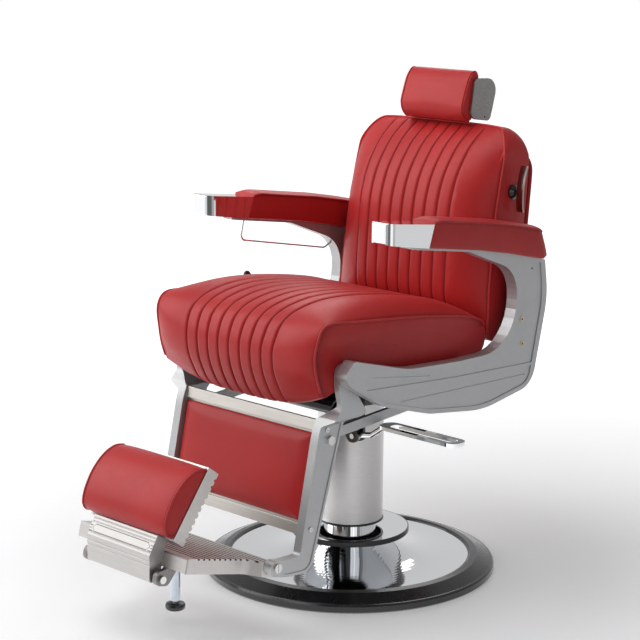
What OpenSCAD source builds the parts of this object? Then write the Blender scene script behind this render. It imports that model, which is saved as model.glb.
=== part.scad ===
// Hydraulic barber chair. Millimetres. Origin on the floor under the column,
// +Z up, the sitter looks along -Y and the sitter's left hand is at +X.
// The back is upright, the column is down and the flip footrest stands up.

/* [Base] */
// Radius of the bright dome where the floor ring's sloping face meets it
dome_radius = 279; // [265:1:290]
// Width of the rubber floor ring
ring_width = 61; // [50:1:70]
// Radius of the flat disc at the foot of the column
disc_radius = 139; // [120:1:150]
// Height of the flat disc's upper face
disc_top = 96; // [92:1:100]

/* [Column] */
// Outer radius of the fixed pump cylinder
pump_radius = 61; // [56:1:64]
// Radius of the lifting ram
ram_radius = 36; // [32:1:40]
// Outer radius of the satin column cover
cover_radius = 77; // [74:1:82]
// Height of the cover's lower rim with the column down
cover_bottom = 118; // [114:1:130]
// Height where the seat carrier rests on the ram
carrier_bottom = 402; // [398:1:408]

/* [Seat frame] */
// Room between the seat's piping and a cast side frame
frame_room = 11; // [10:0.5:14]
// Thickness of a side frame
frame_thick = 30; // [26:1:34]
// Depth of the sunk panel in a side frame
panel_sink = 2.5; // [1:0.5:4]

/* [Seat cushion] */
// Half width of the seat at its piping
seat_half = 255; // [240:1:265]
// Rise of the seat's middle over the piping
seat_crown = 36; // [24:1:38]
// How far the sewn channels lie below the bolsters
seat_dish = 3; // [0:0.5:8]
// Distance between two channel seams, seat and back
channel_pitch = 35; // [32:1:38]
// Depth of a channel seam
channel_depth = 4; // [2:0.5:6]

/* [Back cushion] */
// Lean of the back in degrees
back_lean = 6.6; // [5:0.1:8]
// How much narrower than the seat the back's foot is, at each side
back_inset = 17; // [15:1:24]
// Rise of the back's middle over its piping
back_crown = 66; // [50:1:68]

/* [Arms] */
// Width of an arm pad
arm_width = 63; // [58:1:70]

/* [Leg rest] */
// How far inside the seat's edge the leg frames stand
leg_inset = 48; // [46:1:50]
// Thickness of a leg frame's shank
leg_thick = 22; // [18:1:24]
// How much narrower than the leg frames the footboard's front is, at each side
board_inset = 30; // [22:1:36]
// Thickness of the footboard
board_thick = 32; // [28:1:34]
// Distance between two tread ribs
rib_pitch = 15; // [12:1:18]

/* [Flip footrest] */
// Half width of the serrated plate and its pad
flip_half = 136; // [125:1:145]
// Thickness of the serrated plate
flip_thick = 33; // [28:1:36]
// Half width of the nose block
nose_half = 102; // [95:1:110]

/* [Headrest] */
// Half width of the headrest pad
head_half = 100; // [90:1:105]

/* [Pump lever] */
// Reach of the pump lever's loop from the middle
lever_reach = 439; // [420:1:460]
// Width of the pump lever's loop
lever_width = 50; // [44:1:56]

/* [Hidden] */
$fn = 64;

// colours
red = "firebrick";
cast_silver = "silver";
bright = "gainsboro";
black = "dimgray";

// pivots in the side view, as [y, z]
leg_pivot = [-291, 551];
link_pin = [-301, 403];
back_pivot = [256, 597];
// the links stay parallel, so the rear pin repeats the leg's offset under the back pivot
rear_pin = back_pivot + link_pin - leg_pivot;
flip_pivot = [-680, 158];
head_pivot = [322, 1082];
pump_pivot = [132, 361];
pump_y = -119;
recline_pivot = [62, 466];

// running fit between a pin and its bore, and the gap between parts that pass each other
fit = 0.05;
gap = 0.4;
pin_r = 8;

// sizes that follow the seat's width and the dome
base_radius = dome_radius + ring_width;
frame_inner = seat_half + frame_room;
frame_outer = frame_inner + frame_thick;
back_half = seat_half - back_inset;
arm_inner = seat_half - 4;
arm_outer = arm_inner + arm_width;
leg_inner = seat_half - leg_inset;
leg_outer = leg_inner + leg_thick;
calf_half = leg_inner - 2;
board_half = leg_inner - board_inset;
// lane between the side frames and the cushion, for the leg arms and the back arms
lane_outer = frame_inner - 2;
lane_thick = 7;
arm_lane = lane_outer - 14;
link_x = leg_inner - 12;
link_thick = 10;
link_half = 11;
// the footboard's top rear edge, its slope, and the foot of the flip plate's serrated face
board_slope = 13.5;
board_foot = [-437, 158];
board_len = 226;
flip_tilt = 53.95;
flip_foot = [-635, 221];
flip_len = 168;
// the calf panel's upper edge and its lean
calf_top = [-328, 421];
calf_lean = 11.8;
calf_len = 196;
// the foot of the back's front face
back_foot = [207, 610];
back_deep = 103;
pan_bottom = 512;
pan_top = 524;
seat_rear = 183;

// ---------- outlines ----------
// unit vector
function unit(v) = v / norm(v);
// signed angle between two directions, -180 to 180
function turn(a, b) = atan2(a.x * b.y - a.y * b.x, a * b);
// arc that rounds corner b, with the neighbours a and c, to radius r
function fillet(a, b, c, r, n) =
    let(u = unit(a - b), v = unit(c - b), half = abs(turn(u, v)) / 2)
    (r < 0.01 || half > 89.5) ? [b] :
    let(run = r / tan(half), m = b + unit(u + v) * r / sin(half),
        s = b + u * run - m, sweep = turn(s, b + v * run - m), a0 = atan2(s.y, s.x))
    [for (i = [0:n]) m + r * [cos(a0 + sweep * i / n), sin(a0 + sweep * i / n)]];
// closed outline from corners [y, z, radius]
function outline(k, n = 6) = let(m = len(k))
    [for (i = [0:m - 1]) each fillet(flat(k[(i + m - 1) % m]), flat(k[i]), flat(k[(i + 1) % m]), k[i].z, n)];
function flat(p) = [p.x, p.y];
// the same corners moved inwards by d, for an outline that runs anticlockwise
function inset(k, d) = let(m = len(k))
    [for (i = [0:m - 1])
        let(a = flat(k[(i + m - 1) % m]), b = flat(k[i]), c = flat(k[(i + 1) % m]),
            p = unit(b - a), q = unit(c - b), n1 = [-p.y, p.x], n2 = [-q.y, q.x],
            w = b + (n1 + n2) * d / (1 + n1 * n2))
        [w.x, w.y, k[i].z == 0 ? 0 : max(turn(p, q) > 0 ? k[i].z - d : k[i].z + d, 1)]];
// smooth curve through points, n steps between two of them
function spline(p, n) = let(m = len(p))
    [for (i = [0:m - 2], j = [0:n - 1])
        curve_at(p[max(i - 1, 0)], p[i], p[i + 1], p[min(i + 2, m - 1)], j / n)];
function curve_at(a, b, c, d, t) =
    0.5 * (2 * b + (c - a) * t + (2 * a - 5 * b + 4 * c - d) * t * t + (3 * b - a - 3 * c + d) * t * t * t);
// 0 to 1 between two limits, with soft ends
function ramp(v, lo, hi) = let(t = min(max((v - lo) / (hi - lo), 0), 1)) t * t * (3 - 2 * t);

// ---------- helpers ----------
// a side view outline (y, z) carried along X
module along_x(x0, x1) {
    translate([x0, 0, 0]) rotate([90, 0, 90]) linear_extrude(x1 - x0) children();
}
// a front view outline (x, z) carried along Y
module along_y(y0, y1) {
    translate([0, y1, 0]) rotate([90, 0, 0]) linear_extrude(y1 - y0) children();
}
// a plan outline (x, y) carried along Z
module along_z(z0, z1) {
    translate([0, 0, z0]) linear_extrude(z1 - z0) children();
}
// a round pin along X at a point of the side view
module pin_x(p, r, x0, x1) {
    translate([x0, p.x, p.y]) rotate([0, 90, 0]) cylinder(r = r, h = x1 - x0);
}
// the same thing at both sides of the chair
module both_sides() {
    children();
    mirror([1, 0, 0]) children();
}
// a piece at the chair's right when side is -1
module at_side(side) {
    mirror([side < 0 ? 1 : 0, 0, 0]) children();
}
// round rod through points in space
module rod(p, r) {
    for (i = [0:len(p) - 2]) {
        v = p[i + 1] - p[i];
        translate(p[i]) rotate([0, acos(v.z / norm(v)), atan2(v.y, v.x)])
            cylinder(r = r, h = norm(v), $fn = 24);
    }
    for (i = [1:len(p) - 2]) translate(p[i]) sphere(r = r, $fn = 24);
}
// closed skin over rings of points, with a fan at each end
module skin(rings) {
    n = len(rings[0]);
    m = len(rings);
    middle = function(r) [for (k = [0:2]) [for (p = r) p[k]] * [for (p = r) 1] / n];
    points = concat([for (r = rings) each r], [middle(rings[0]), middle(rings[m - 1])]);
    sides = [for (i = [0:m - 2], j = [0:n - 1])
        let(a = i * n + j, b = i * n + (j + 1) % n, c = a + n, d = b + n)
        each [[a, c, b], [b, c, d]]];
    first = [for (j = [0:n - 1]) [m * n, j, (j + 1) % n]];
    last = [for (j = [0:n - 1]) [m * n + 1, (m - 1) * n + (j + 1) % n, (m - 1) * n + j]];
    polyhedron(points, concat(sides, first, last));
}
// stations across a channelled cushion: a seam is one narrow valley
seams = [for (i = [-4:4]) i * channel_pitch];
valley = 4;
function stations(half) = concat([-half, -half + 5, -half + 20, -half + 50],
    [for (s = seams) each [s - valley, s, s + valley]],
    [half - 50, half - 20, half - 5, half]);
// depth of the seam valley at x
function groove(x) = channel_depth * max([for (s = seams) 1 - min(abs(x - s) / valley, 1)]);

// ---------- base ----------
plate_radius = dome_radius + 21;
plate_thick = 14;
ring_inner = dome_radius + 3;
module base_plate() {
    color(black) difference() {
        cylinder(r = plate_radius, h = plate_thick, $fn = 96);
        for (a = [0:60:300]) rotate(a) translate([190, 0, 8]) cylinder(r = 7, h = plate_thick);
    }
}
module base_ring() {
    color(black) rotate_extrude($fn = 128) polygon([
        [plate_radius, 0], [base_radius - 3, 0], [base_radius, 3], [base_radius, 15],
        [base_radius - 4, 19], [base_radius - 7, 19.5], [ring_inner + 18, 34], [dome_radius + 6, 36],
        [dome_radius, 33], [dome_radius, plate_thick], [plate_radius, plate_thick]]);
}
// height of the dome's outer skin at radius r, a flat rim that sweeps up to the neck
function dome_height(r) = 31 + (disc_top - 12 - 31) * pow((dome_radius - r) / (dome_radius - 68), 3.2);
module base_dome() {
    steps = 18;
    wall = 3;
    outer = [for (i = [0:steps]) let(r = dome_radius + (68 - dome_radius) * i / steps) [r, dome_height(r)]];
    inner = [for (i = [steps:-1:0]) [max(outer[i].x - 0.5, 66), outer[i].y - wall]];
    color(bright) rotate_extrude($fn = 128) polygon(concat(
        [[dome_radius, plate_thick]], outer, inner, [[dome_radius - 3, 26], [dome_radius - 3, plate_thick]]));
}
module base_disc() {
    color(bright) difference() {
        translate([0, 0, disc_top - 12]) cylinder(r = disc_radius - 3, h = 12, $fn = 96);
        translate([0, 0, disc_top - 13]) cylinder(r = pump_radius, h = 14);
    }
}
module disc_band() {
    color(black) rotate_extrude($fn = 96) polygon([
        [disc_radius - 3, disc_top - 12], [disc_radius - 1, disc_top - 12], [disc_radius, disc_top - 10.5],
        [disc_radius, disc_top - 1.5], [disc_radius - 1, disc_top], [disc_radius - 3, disc_top]]);
}
pump_top = carrier_bottom - 12;
module pump_cylinder() {
    color(bright) difference() {
        translate([0, 0, plate_thick]) cylinder(r = pump_radius, h = pump_top - plate_thick);
        translate([0, 0, plate_thick + 16]) cylinder(r = ram_radius + fit, h = pump_top);
        translate([0, 0, pump_top - 2]) cylinder(r1 = ram_radius + fit, r2 = ram_radius + 3, h = 2.1);
    }
}

// ---------- ram ----------
spigot_r = 28;
spigot_top = carrier_bottom + 60;
module ram_piston() {
    color(bright) {
        translate([0, 0, 60]) cylinder(r = ram_radius, h = carrier_bottom - 4 - 60);
        cylinder_at(spigot_r, carrier_bottom - 4, spigot_top - 2);
        translate([0, 0, spigot_top - 2]) cylinder(r1 = spigot_r, r2 = spigot_r - 2, h = 2);
    }
}
module cylinder_at(r, z0, z1) {
    translate([0, 0, z0]) cylinder(r = r, h = z1 - z0);
}
module thrust_ring() {
    color("tan") difference() {
        cylinder_at(ram_radius, carrier_bottom - 4, carrier_bottom - 0.2);
        cylinder_at(spigot_r, carrier_bottom - 5, carrier_bottom);
    }
}

// ---------- seat carrier and column cover ----------
hub_r = 52;
rail_half = 150;
module seat_carrier() {
    color(black) difference() {
        union() {
            cylinder_at(cover_radius + 3, carrier_bottom, carrier_bottom + 12);
            cylinder_at(hub_r, carrier_bottom + 12, pan_bottom);
            // two cross arms under the pan
            for (y = [-120, 120]) along_y(y - 16, y + 16) polygon(outline([
                [-176, pan_bottom, 0], [-176, pan_bottom - 22, 6], [-60, carrier_bottom + 14, 20],
                [60, carrier_bottom + 14, 20], [176, pan_bottom - 22, 6], [176, pan_bottom, 0]]));
            // two long webs that carry the hub's load to the arms and the front tube
            for (x = [-46, 34]) along_x(x, x + 12) polygon(outline([
                [-205, carrier_bottom + 22, 8], [176, carrier_bottom + 18, 20], [176, pan_bottom, 0],
                [-180, pan_bottom, 0], [-205, carrier_bottom + 60, 10]]));
            // front cross tube
            pin_x([-200, carrier_bottom + 40], 18, -rail_half, rail_half);
        }
        cylinder_at(spigot_r + fit, carrier_bottom - 1, spigot_top + 4);
        pin_x([-200, carrier_bottom + 40], 14, -rail_half - 1, -50);
        pin_x([-200, carrier_bottom + 40], 14, 50, rail_half + 1);
    }
}
module column_cover() {
    color(bright) difference() {
        cylinder_at(cover_radius, cover_bottom, carrier_bottom);
        cylinder_at(cover_radius - 3, cover_bottom - 1, carrier_bottom - 5);
        cylinder_at(ram_radius + 12, carrier_bottom - 6, carrier_bottom + 1);
    }
}
module cover_ring() {
    color(black) rotate_extrude() polygon([
        [cover_radius - 3, cover_bottom - 5], [cover_radius + 1, cover_bottom - 5],
        [cover_radius + 2, cover_bottom - 4], [cover_radius + 2, cover_bottom - 1],
        [cover_radius + 1, cover_bottom], [cover_radius - 3, cover_bottom]]);
}
pan_half = seat_half - 13;
pan_front = -312;
module seat_pan() {
    color(black) difference() {
        along_z(pan_bottom, pan_top) polygon(outline([
            [-pan_half, pan_front, 20], [pan_half, pan_front, 20], [pan_half, -215, 4],
            [frame_inner, -205, 4], [frame_inner, 95, 4], [pan_half, 105, 4],
            [pan_half, seat_rear - 6, 20], [-pan_half, seat_rear - 6, 20], [-pan_half, 105, 4],
            [-frame_inner, 95, 4], [-frame_inner, -205, 4], [-pan_half, -215, 4]]));
        for (y = [-90, 90]) translate([0, y, pan_bottom - 1]) cylinder(r = 30, h = 20);
    }
}

// ---------- seat cushion ----------
// side views of the seat from the rear foot over the top to the front lip: at the piping, and in the middle
seat_side = [[seat_rear, 556], [seat_rear - 3, 576], [164, 600], [112, 617], [45, 628], [-65, 641.5],
    [-170, 650.5], [-250, 657], [-318, 664], [-349, 659], [-364, 640], [-370, 605], [-364, 557], [-350, 515]];
seat_middle = [[seat_rear, 556], [seat_rear - 2, 584], [160, 613], [116, 638], [45, 661], [-65, 680],
    [-170, 691], [-246, 691], [-312, 680], [-353, 663], [-376, 637], [-386, 598], [-383, 552], [-366, 505]];
// the rise of the middle line as it is listed above
listed_crown = 36;
// 1 in the middle of the seat and 0 at the piping, flatter on top than under the front lip
function seat_puff(x, z) = 1 - pow(min(abs(x) / seat_half, 1), 3 + 5 * ramp(z, 515, 575));
// a place between the two side views
function seat_between(x, side, middle) =
    side + (middle - side) * seat_puff(x, side.y) * seat_crown / listed_crown;
function seat_ring(x) =
    let(base = spline(seat_side, 2), mid = spline(seat_middle, 2), n = len(base),
        channel = 1 - ramp(abs(x), 4 * channel_pitch, seat_half - 60))
    concat(
        [for (i = [0:n - 1])
            let(t = unit(base[min(i + 1, n - 1)] - base[max(i - 1, 0)]), out = [t.y, -t.x],
                sunk = seat_dish * channel * ramp(base[i].y, 600, 640) + groove(x) * (base[i].x < 120 ? 1 : 0))
            seat_point(x, seat_between(x, base[i], mid[i]) - out * sunk)],
        [for (p = [[[-350, 515], [-366, 505]], [[-344, 507], [-351, 481]], [[-331, 506], [-332, 466]],
                [[-318, 512], [-318, 472]]])
            seat_point(x, seat_between(x, p[0], p[1]))],
        [seat_point(x, [-318, pan_top]), seat_point(x, [seat_rear - 8, pan_top])]);
// below the piping the side is drawn in
function seat_point(x, p) = [x * (1 - 0.03 * (1 - ramp(p.y, 585, 640))), p.x, p.y];
module seat_cushion() {
    color(red) skin([for (x = stations(seat_half)) seat_ring(x)]);
}

// ---------- side frames ----------
// the pad's foot line along the arm, which the frame's arm follows
arm_foot = [[310, 732], [182, 760], [84, 778], [-93, 803], [-215, 822]];
strip = 6;
frame_tip = [-130, lookup(-130, rev(arm_foot))];
frame_corners = [
    [310, 732, 0], [182, 760, 0], [84, 778, 0], [-93, 803, 0], [frame_tip.x, frame_tip.y, 0],
    [frame_tip.x, frame_tip.y - strip, 2], [-93, 803 - strip, 0], [60, 776, 60], [233, 712, 80],
    [233, 533, 112], [40, 533, 300],
    [-129, 541, 300], [-299, 585, 12], [-327, 555, 16], [-311, 532, 30], [-205, 471, 120], [-60, 430, 200],
    [121, 407, 300], [297, 437, 60], [346, 640, 200], [332, 727, 0]];
// a thin line milled in the panel, from a to b
module score(a, b, w) {
    d = b - a;
    along_x(frame_outer - panel_sink - 1.5, frame_outer + 1)
        translate(a) rotate(atan2(d.y, d.x)) translate([0, -w / 2]) square([norm(d), w]);
}
screw_spots = [[256, 597], [259, 539]];
module side_frame(side) {
    color(cast_silver) at_side(side) difference() {
        along_x(frame_inner, frame_outer) polygon(outline(frame_corners, 8));
        // lower panel, upper rear panel and the step along the rear edge
        along_x(frame_outer - panel_sink, frame_outer + 1) polygon(outline([
            [-262, 507, 2], [-205, 480, 100], [-60, 440, 200], [121, 417, 300], [286, 446, 40],
            [292, 485, 3], [20, 493, 400], [-250, 512, 3]]));
        along_x(frame_outer - panel_sink, frame_outer + 1) polygon(outline([
            [-262, 516, 3], [20, 499, 400], [294, 490, 3], [328, 640, 200], [317, 722, 3], [208, 746, 6],
            [245, 700, 70], [245, 521, 124], [40, 521, 300], [-129, 530, 300], [-250, 556, 12]]));
        score([-240, 541], [-60, 516], 2.5);
        score([-150, 474], [270, 466], 3);
        // seats for the pins, the screws and the mark at the leg pivot
        pin_x(leg_pivot, pin_r, frame_inner - 1, frame_outer - 6);
        pin_x(back_pivot, pin_r, frame_inner - 1, frame_outer - 6);
        for (p = screw_spots) pin_x(p, 7, frame_outer - 5, frame_outer + 1);
        pin_x([288, 711], 2.5, frame_outer - 9, frame_outer + 1);
        if (side < 0) pin_x(recline_pivot, 7, frame_outer - 12, frame_outer + 1);
    }
}
module frame_screws() {
    color(bright) both_sides() for (p = screw_spots) difference() {
        pin_x(p, 7, frame_outer - 5, frame_outer - panel_sink + 1);
        pin_x(p, 3, frame_outer - panel_sink - 1.5, frame_outer + 1, $fn = 6);
    }
}
module leg_pivot_pins() {
    color(bright) both_sides() {
        pin_x(leg_pivot, pin_r, arm_lane, frame_outer - 6);
    }
}
module back_pivot_pins() {
    color(bright) both_sides() {
        pin_x(back_pivot, pin_r, lane_outer - lane_thick - 3, frame_outer - 6);
        pin_x(back_pivot, pin_r + 4, lane_outer - lane_thick - 5, lane_outer - lane_thick - 1);
    }
}

// ---------- arms ----------
// the line of the lip that overhangs the pad's sides
arm_top = [[298, 803], [290, 805], [222, 819], [133, 835], [21, 850], [-52, 860], [-74, 857]];
arm_front = -93;
arm_rear = 322;
function arm_ring(y_foot) =
    let(t = (y_foot - arm_front) / (arm_rear - arm_front), y_top = -74 + t * (298 - -74),
        foot = lookup(y_foot, rev(arm_foot)) + 5 * ramp(t, 0.96, 1), h = lookup(y_top, rev(arm_top)) - foot,
        end = ramp(t, 0.93, 1), w = (arm_outer - arm_inner) / 2, m = (arm_outer + arm_inner) / 2,
        half_section = [[-0.95, 0], [-1, 0.2], [-0.97, 0.84], [-1.07, 0.88], [-1.08, 0.95], [-0.97, 1.01],
            [-0.6, 1.06]])
    [for (q = concat(half_section, [[0, 1.08]], rev([for (q = half_section) [-q.x, q.y]])))
        [m + q.x * w * (1 - 0.1 * end), y_foot + (y_top - y_foot) * min(q.y, 1),
            foot + h * q.y * (1 - 0.03 * end)]];
function rev(p) = [for (i = [len(p) - 1:-1:0]) p[i]];
arm_stops = [arm_front, -68, -10, 84, 182, 262, 300, 314, arm_rear];
module arm_pad(side) {
    color(red) at_side(side) skin([for (y = arm_stops) arm_ring(y)]);
}
module arm_cap(side) {
    color(bright) at_side(side) intersection() {
        along_x(arm_inner - 2, arm_outer + 2) polygon(outline([
            [arm_front, 803, 0], [-76.5, 853, 0], [-215, 868, 5], [-215, 822, 5]]));
        along_z(780, 900) polygon(outline([
            [arm_inner - 1, -60, 0], [arm_inner - 1, -215, 20],
            [arm_outer + 1, -215, 20], [arm_outer + 1, -60, 0]]));
    }
}
bar_r = 2.4;
bar_x = -(frame_inner + 15);
// the bar hangs from the arm in front and bends into the frame behind
bar_corners = [[-80, 795.4, 0], [-90, 749, 14], [190, 699, 20], [214, 711, 0]];
module towel_bar() {
    line = concat([flat(bar_corners[0])],
        fillet(flat(bar_corners[0]), flat(bar_corners[1]), flat(bar_corners[2]), bar_corners[1].z, 5),
        fillet(flat(bar_corners[1]), flat(bar_corners[2]), flat(bar_corners[3]), bar_corners[2].z, 5),
        [flat(bar_corners[3])]);
    n = len(line);
    sides = 10;
    color(bright) skin([for (i = [0:n - 1])
        let(t = unit(line[min(i + 1, n - 1)] - line[max(i - 1, 0)]), out = [-t.y, t.x])
        [for (j = [0:sides - 1]) let(a = -360 * j / sides, p = line[i] + out * bar_r * sin(a))
            [bar_x + bar_r * cos(a), p.x, p.y]]]);
}

// ---------- pump lever ----------
// height of a cross arm's slanted underside at x
function arm_under(x) = (carrier_bottom + 14) + (x - 60) / 116 * (pan_bottom - 36 - carrier_bottom);
module lever_bracket() {
    color(black) difference() {
        along_y(pump_y - 14, pump_y + 14) polygon(outline([
            [98, arm_under(98), 0], [98, 378, 6], [pump_pivot.x - 12, 346, 12], [pump_pivot.x + 14, 346, 13],
            [pump_pivot.x + 14, 376, 8], [140, arm_under(140), 0]]));
        along_y(pump_y - 7, pump_y + 7) polygon([[100, 330], [160, 330], [160, 386], [112, 386], [100, 366]]);
        translate([pump_pivot.x, pump_y - 20, pump_pivot.y]) rotate([-90, 0, 0]) cylinder(r = 6 + fit, h = 40);
    }
}
loop_z = 400;
module pump_lever() {
    half = lever_width / 2;
    color(bright) {
        translate([pump_pivot.x, pump_y - 6.6, pump_pivot.y]) rotate([-90, 0, 0]) cylinder(r = 12, h = 13.2);
        translate([pump_pivot.x, pump_y - 16, pump_pivot.y]) rotate([-90, 0, 0]) cylinder(r = 6, h = 32);
        rod([[pump_pivot.x, pump_y, pump_pivot.y], [178, pump_y, 370], [222, pump_y, loop_z]], 6.4);
        // flat slotted loop that the foot presses
        difference() {
            along_z(loop_z - 4, loop_z + 4) polygon(outline([
                [212, pump_y - half, 24], [lever_reach, pump_y - half, 20], [lever_reach, pump_y + half, 20],
                [212, pump_y + half, 24]]));
            along_z(loop_z - 5, loop_z + 5) polygon(outline([
                [240, pump_y - half + 12, 10], [lever_reach - 16, pump_y - half + 12, 10],
                [lever_reach - 16, pump_y + half - 12, 10], [240, pump_y + half - 12, 10]]));
        }
    }
}

// ---------- recline lever ----------
lever_x = frame_outer + 7;
module recline_boss() {
    color(bright) at_side(-1) difference() {
        pin_x(recline_pivot, 17, frame_outer - panel_sink, lever_x - 0.4);
        pin_x(recline_pivot, 6 + fit, frame_outer - 5, lever_x + 1);
    }
}
module recline_lever() {
    color(black) at_side(-1) {
        pin_x(recline_pivot, 6, frame_outer - 10, lever_x + 3);
        along_x(lever_x, lever_x + 6) polygon(outline([
            [recline_pivot.x - 8, recline_pivot.y - 13, 12], [recline_pivot.x + 15, recline_pivot.y - 8, 12],
            [recline_pivot.x + 12, recline_pivot.y + 14, 20], [-18, 640, 30], [-44, 668, 5], [-56, 661, 5],
            [-36, 628, 30], [recline_pivot.x - 14, recline_pivot.y, 10]]));
    }
}

// ---------- leg frames ----------
leg_corners = [
    [-476, 140, 15], [-425, 128, 60], [-357, 124, 32], [-262, 434, 10], [-246, 449, 6], [-226, 460, 8],
    [-268, 520, 30], [-269, 573, 21], [-313, 573, 21], [-313, 525, 30], [-301, 478, 25], [-322, 455, 12],
    [-335, 425, 200], [-365, 283, 300], [-389, 166, 12], [-440, 167, 30], [-474, 174, 14]];
foot_bolt = [-456, 155];
module leg_frame(side) {
    color(cast_silver) at_side(side) difference() {
        union() {
            intersection() {
                along_x(leg_inner, lane_outer) polygon(outline(leg_corners, 8));
                // the casting steps outwards from the shank to the lane beside the seat
                along_y(-500, -200) polygon(outline([
                    [leg_inner, 100, 0], [leg_outer, 100, 0], [leg_outer, 437, 8], [lane_outer, 453, 4],
                    [lane_outer, 600, 0], [arm_lane, 600, 0], [arm_lane, 481, 6], [leg_inner, 449, 6]]));
            }
            pin_x(link_pin, 15, link_x + link_thick + gap, leg_inner);
        }
        // sunk web between the raised rims of the shank
        intersection() {
            along_x(leg_outer - 2, leg_outer + 1) polygon(outline(inset(leg_corners, 6), 8));
            translate([leg_outer - 3, -436, 130]) cube([5, 236, 307]);
        }
        pin_x(leg_pivot, pin_r + fit, arm_lane - 1, lane_outer + 1);
        pin_x(link_pin, pin_r, link_x, lane_outer);
        pin_x(foot_bolt, 6, leg_inner - 1, leg_outer + 1);
        for (p = leg_screw_spots) pin_x(p, 3, leg_inner + 6, leg_outer + 1);
    }
}
leg_screw_spots = [[-309, 427], [-357, 217]];
module leg_screws() {
    color(bright) both_sides() for (p = leg_screw_spots) {
        pin_x(p, 3, leg_inner + 6, leg_outer - 2);
        difference() {
            pin_x(p, 5.5, leg_outer - 2, leg_outer + 0.6);
            pin_x(p, 2, leg_outer - 0.8, leg_outer + 2, $fn = 6);
        }
    }
}
module foot_bolts() {
    color(bright) both_sides() {
        pin_x(foot_bolt, 6, leg_inner, leg_outer);
        difference() {
            pin_x(foot_bolt, 10, leg_outer, leg_outer + 4);
            translate([leg_outer + 2, foot_bolt.x - 1.2, foot_bolt.y - 11]) cube([4, 2.4, 22]);
        }
    }
}
module link_bolts() {
    color(bright) both_sides() {
        pin_x(link_pin, pin_r, link_x - 4, leg_outer - 2);
        pin_x(link_pin, 11, leg_outer - 2, leg_outer + 5, $fn = 6);
        pin_x(link_pin, 11, link_x - 7, link_x - gap, $fn = 32);
    }
}

// ---------- links ----------
module link_bar(side) {
    reach = norm(rear_pin - link_pin);
    rise = atan2(rear_pin.y - link_pin.y, rear_pin.x - link_pin.x);
    color(cast_silver) at_side(side) difference() {
        union() {
            translate([0, link_pin.x, link_pin.y]) rotate([rise, 0, 0])
                along_x(link_x, link_x + link_thick) translate([0, -link_half]) square([reach, 2 * link_half]);
            pin_x(link_pin, link_half + 1, link_x, link_x + link_thick);
            pin_x(rear_pin, link_half + 1, link_x, link_x + link_thick);
        }
        pin_x(link_pin, pin_r + fit, link_x - 1, link_x + link_thick + 1);
        pin_x(rear_pin, pin_r - 2 + gap, link_x - 1, link_x + link_thick + 1);
    }
}

// ---------- calf panel ----------
module on_calf() {
    translate([0, calf_top.x, calf_top.y]) rotate([-calf_lean, 0, 0]) children();
}
module calf_panel() {
    color(bright) on_calf() difference() {
        translate([-leg_inner, 10, -calf_len - 26]) cube([2 * leg_inner, 3, calf_len + 54]);
        for (x = [-120, 120], z = [-150, -50]) translate([x, 0, z]) rotate([-90, 0, 0]) cylinder(r = 5, h = 20);
    }
}
module calf_strip(z0) {
    color(bright) on_calf() along_x(-leg_inner, leg_inner) polygon(outline([
        [10, z0, 0], [2, z0, 1.5], [2, z0 + 25, 1.5], [10, z0 + 25, 0]]));
}
function calf_ring(x) = let(u = abs(x) / calf_half, puff = 1 - pow(u, 6))
    concat([for (i = [0:8]) let(v = i / 8, q = 1 - pow(abs(2 * v - 1), 4))
        [x, 4 - 6 * q * puff - 3 * q, -calf_len + 2 + (calf_len - 4) * v]],
        [[x, 10, -2], [x, 10, 2 - calf_len]]);
module calf_board() {
    color(red) on_calf() skin([for (u = [-1, -0.985, -0.93, -0.8, -0.4, 0, 0.4, 0.8, 0.93, 0.985, 1])
        calf_ring(u * (calf_half - 1))]);
}

// ---------- footboard ----------
module on_board() {
    translate([0, board_foot.x, board_foot.y]) rotate([-board_slope, 0, 0]) children();
}
// top line of a tread from y0 towards -y: ribs with round-bottomed grooves of width w and depth d
function tread(y0, count, w, d) = [for (i = [0:count - 1]) let(y = y0 - i * rib_pitch)
    each [[y, 0], [y - 0.2 * w, -0.75 * d], [y - 0.5 * w, -d], [y - 0.8 * w, -0.75 * d], [y - w, 0]]];
board_ribs = 13;
tube_y = -541;
tube_r = 11;
module footboard() {
    local_tube = (tube_y - board_foot.x) / cos(board_slope);
    color(bright) difference() {
        on_board() difference() {
            intersection() {
                along_x(-leg_inner, leg_inner) polygon(concat(
                    [[0, -board_thick], [0, -3], [-3, 0]], tread(-14, board_ribs, 5, 3),
                    [[-board_len + 3, 0], [-board_len, -3], [-board_len, -board_thick]]));
                along_z(-board_thick - 1, 1) polygon(outline([
                    [-board_half, -board_len, 4], [board_half, -board_len, 4], [board_half, -62, 30],
                    [leg_inner, -36, 10], [leg_inner, 0, 0], [-leg_inner, 0, 0], [-leg_inner, -36, 10],
                    [-board_half, -62, 30]]));
            }
            // cast underside with ribs
            for (x = [[17 - board_half, -92], [-80, -26], [26, 80], [92, board_half - 17]],
                y = [[-208, -124], [-90, -16]])
                along_z(-board_thick - 1, -9) polygon(outline([
                    [x[0], y[0], 8], [x[1], y[0], 8], [x[1], y[1], 8], [x[0], y[1], 8]]));
        }
        translate([0, tube_y, 140]) cylinder(r = tube_r, h = 28);
        both_sides() pin_x(foot_bolt, 6, leg_inner - 30, leg_inner + 1);
    }
}
screw_r = 5;
module support_tube() {
    color(cast_silver) difference() {
        union() {
            translate([0, tube_y, 48]) cylinder(r = tube_r, h = 120);
            translate([0, tube_y, 46]) cylinder(r = 8, h = 10);
        }
        translate([0, tube_y, 45]) cylinder(r = screw_r + fit, h = 70);
    }
}
module foot_screw() {
    color(bright) translate([0, tube_y, 42]) cylinder(r = screw_r, h = 68);
}
module foot_disc() {
    color(black) translate([0, tube_y, 0]) rotate_extrude() polygon([
        [0, 27], [19, 27], [21, 29], [22, 32], [22, 36], [20, 40], [12, 42], [0, 42]]);
}
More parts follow.
